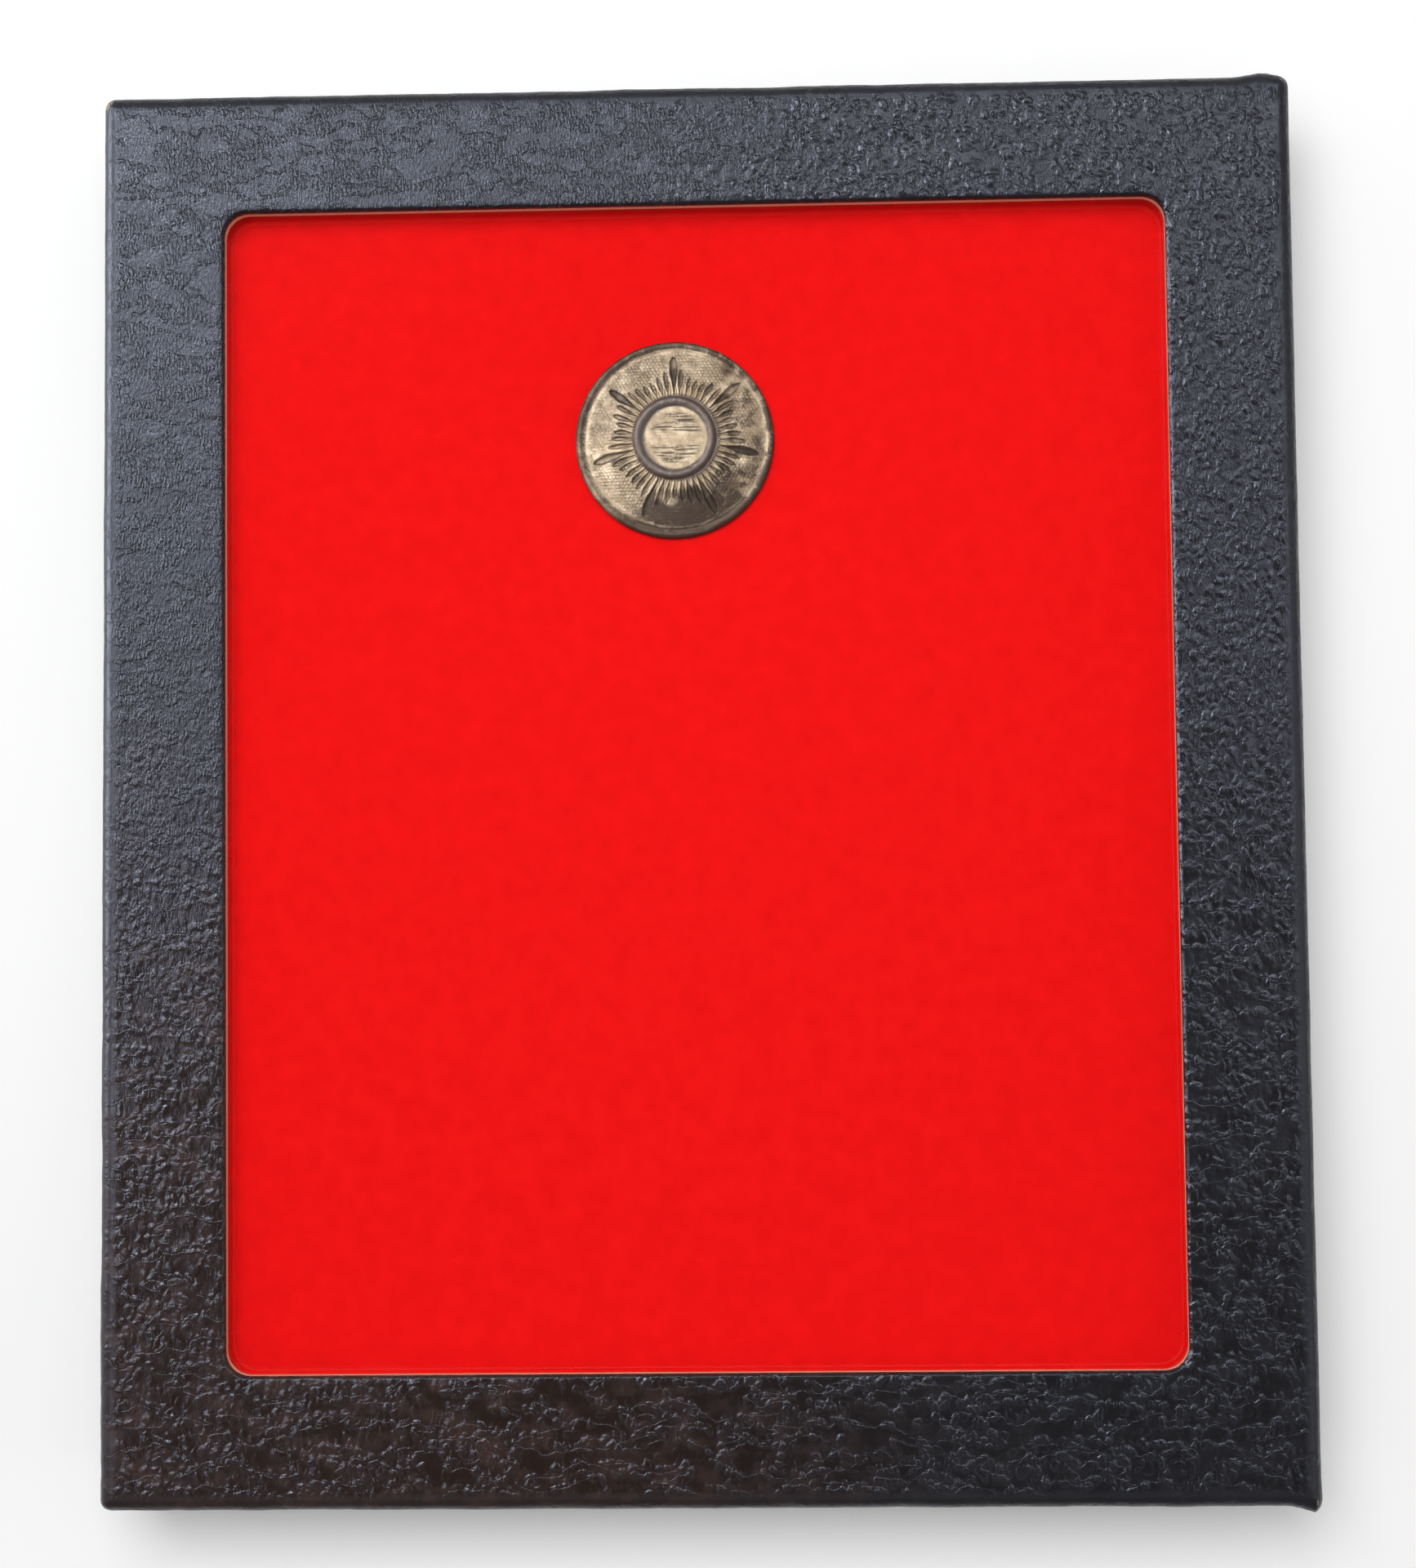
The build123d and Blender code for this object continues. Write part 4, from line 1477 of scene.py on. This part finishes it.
@dataclass(frozen=True)
class Softbox:
    """Area lamp that faces the case, with its place and size in metres and its power in watts."""

    name: str
    place: Triple
    size: Pair
    power: float
    colour: str
    lights: Lights

    def hang(self) -> None:
        """Hang the lamp, out of the camera's sight."""
        data = bpy.data.lights.new(self.name, "AREA")
        data.shape = "RECTANGLE"
        data.size, data.size_y = self.size
        data.energy = self.power
        data.color = hex_linear(self.colour)[:3]
        lamp = bpy.data.objects.new(self.name, data)
        lamp.location = self.place
        lamp.rotation_euler = (-Vector(self.place)).to_track_quat("-Z", "Y").to_euler()
        lamp.visible_camera = False
        lamp.visible_diffuse = self.lights is not Lights.SHEEN
        lamp.visible_glossy = lamp.visible_transmission = self.lights is not Lights.MATT
        bpy.context.scene.collection.objects.link(lamp)


@dataclass
class Studio:
    """Plain pale floor, soft lamps and the camera at the photograph's viewing angle.

    The overhead lamp isn't mirrored, so that the glass stays clear. The lamps that give the
    covering its sheen light no matt surface, so that the window's edge casts no wide shadow.
    """

    camera_place: Triple = (9.077, -14.774, 302.742)
    camera_turn: Triple = (3.0212, 1.6729, -0.6672)
    lens: float = 56.25
    floor_colour: str = "#f2f2f2"
    floor_size: float = 12.0
    floor_lift: float = 0.1
    lamps: tuple[Softbox, ...] = (
        Softbox("overhead_softbox", (-0.05, 0.1, 0.45), (0.25, 0.25), 1.55, "#ffffff", Lights.MATT),
        Softbox("right_softbox", (0.85, -0.1, 0.5), (0.6, 0.6), 1.0, "#fffefc", Lights.BOTH),
        Softbox("upper_left_softbox", (-0.3, 0.3, 0.64), (0.16, 0.16), 2.3, "#fbfcff", Lights.SHEEN),
        Softbox("upper_strip_softbox", (0.12, 0.38, 0.62), (0.45, 0.12), 1.0, "#fdfdff", Lights.SHEEN),
        Softbox("left_strip_softbox", (-0.37, 0.06, 0.61), (0.4, 0.12), 1.3, "#fbfcff", Lights.SHEEN),
        Softbox("right_strip_softbox", (0.3, 0.12, 0.62), (0.4, 0.12), 0.6, "#fdfdff", Lights.SHEEN),
        Softbox("left_softbox", (-0.8, 0.2, 0.22), (0.5, 0.4), 7.0, "#f4f8ff", Lights.SHEEN),
    )

    def build(self) -> None:
        """Place the camera, the floor, the world and the lamps."""
        self.place_camera()
        self.lay_floor()
        self.light_world()
        for lamp in self.lamps:
            lamp.hang()

    def place_camera(self) -> None:
        """Make the camera that looks down on the case."""
        data = bpy.data.cameras.new("camera")
        data.lens = self.lens
        data.sensor_width = 36.0
        data.clip_start = 0.01
        camera = bpy.data.objects.new("camera", data)
        camera.location = [value * MM for value in self.camera_place]
        camera.rotation_euler = [math.radians(value) for value in self.camera_turn]
        bpy.context.scene.collection.objects.link(camera)
        bpy.context.scene.camera = camera

    def lay_floor(self) -> None:
        """Lay the floor of matt white paper, seen a little lighter than the light on it makes it."""
        bpy.ops.mesh.primitive_plane_add(size=self.floor_size)
        floor = new_piece("floor")
        material, tree, shader = start_material("matt_white_paper_floor")
        feed(shader, {"Base Color": hex_linear(self.floor_colour), "Roughness": 1.0})
        feed(shader, {"Specular IOR Level": 0.0})
        path = add_node(tree, "LightPath")
        seen = path.outputs["Is Camera Ray"]
        for ray in ("Is Glossy Ray", "Is Transmission Ray"):
            seen = add_node(tree, "Math", {0: seen, 1: path.outputs[ray]}, operation="MAXIMUM")
        lift = add_node(tree, "Math", {0: seen, 1: self.floor_lift}, operation="MULTIPLY")
        glow = add_node(tree, "Emission", {"Strength": lift})
        both = add_node(tree, "AddShader", {0: shader, 1: glow})
        feed(tree.nodes["output"], {"Surface": both})
        floor.data.materials.append(material)

    def light_world(self) -> None:
        """Light the room softly: pale towards the horizon and the upper left, dim overhead."""
        world = bpy.data.worlds.new("studio")
        bpy.context.scene.world = world
        world.use_nodes = True
        tree = world.node_tree
        tree.nodes.clear()
        direction = add_node(tree, "TexCoord").outputs["Generated"]
        up = add_node(tree, "SeparateXYZ", {0: direction}).outputs["Z"]
        level = add_node(tree, "ValToRGB", {"Fac": up})
        # How far up a direction points, and the grey that is seen there
        stops = ((0.0, 0.4), (0.6, 0.45), (0.75, 0.65), (0.84, 1.0))
        stops += ((0.9, 1.0), (0.93, 0.08), (0.965, 0.03))
        ramp = level.color_ramp.elements
        for number, (place, grey) in enumerate(stops):
            stop = ramp[number] if number < 2 else ramp.new(place)
            stop.position, stop.color = place, (grey, grey, grey, 1.0)
        upper_left = {0: direction, 1: (-0.55, 0.83, 0.0)}
        towards = add_node(tree, "VectorMath", upper_left, operation="DOT_PRODUCT")
        brighter = {0: towards.outputs["Value"], 1: 0.35, 2: 0.7}
        strength = add_node(tree, "Math", brighter, operation="MULTIPLY_ADD")
        glow = add_node(tree, "Background", {"Color": level, "Strength": strength})
        add_node(tree, "OutputWorld", {"Surface": glow})


def main() -> None:
    """Build the case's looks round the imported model, piece by piece."""
    logging.basicConfig(level=logging.INFO, format="%(name)s: %(message)s")
    paper = EmbossedPaper().build()
    button = Button()
    Lid().build(paper)
    Tray().build(button, paper)
    button.build()
    SidePins().build()
    Studio().build()
    bpy.context.scene.view_settings.view_transform = "Standard"


if __name__ == "__main__":
    main()
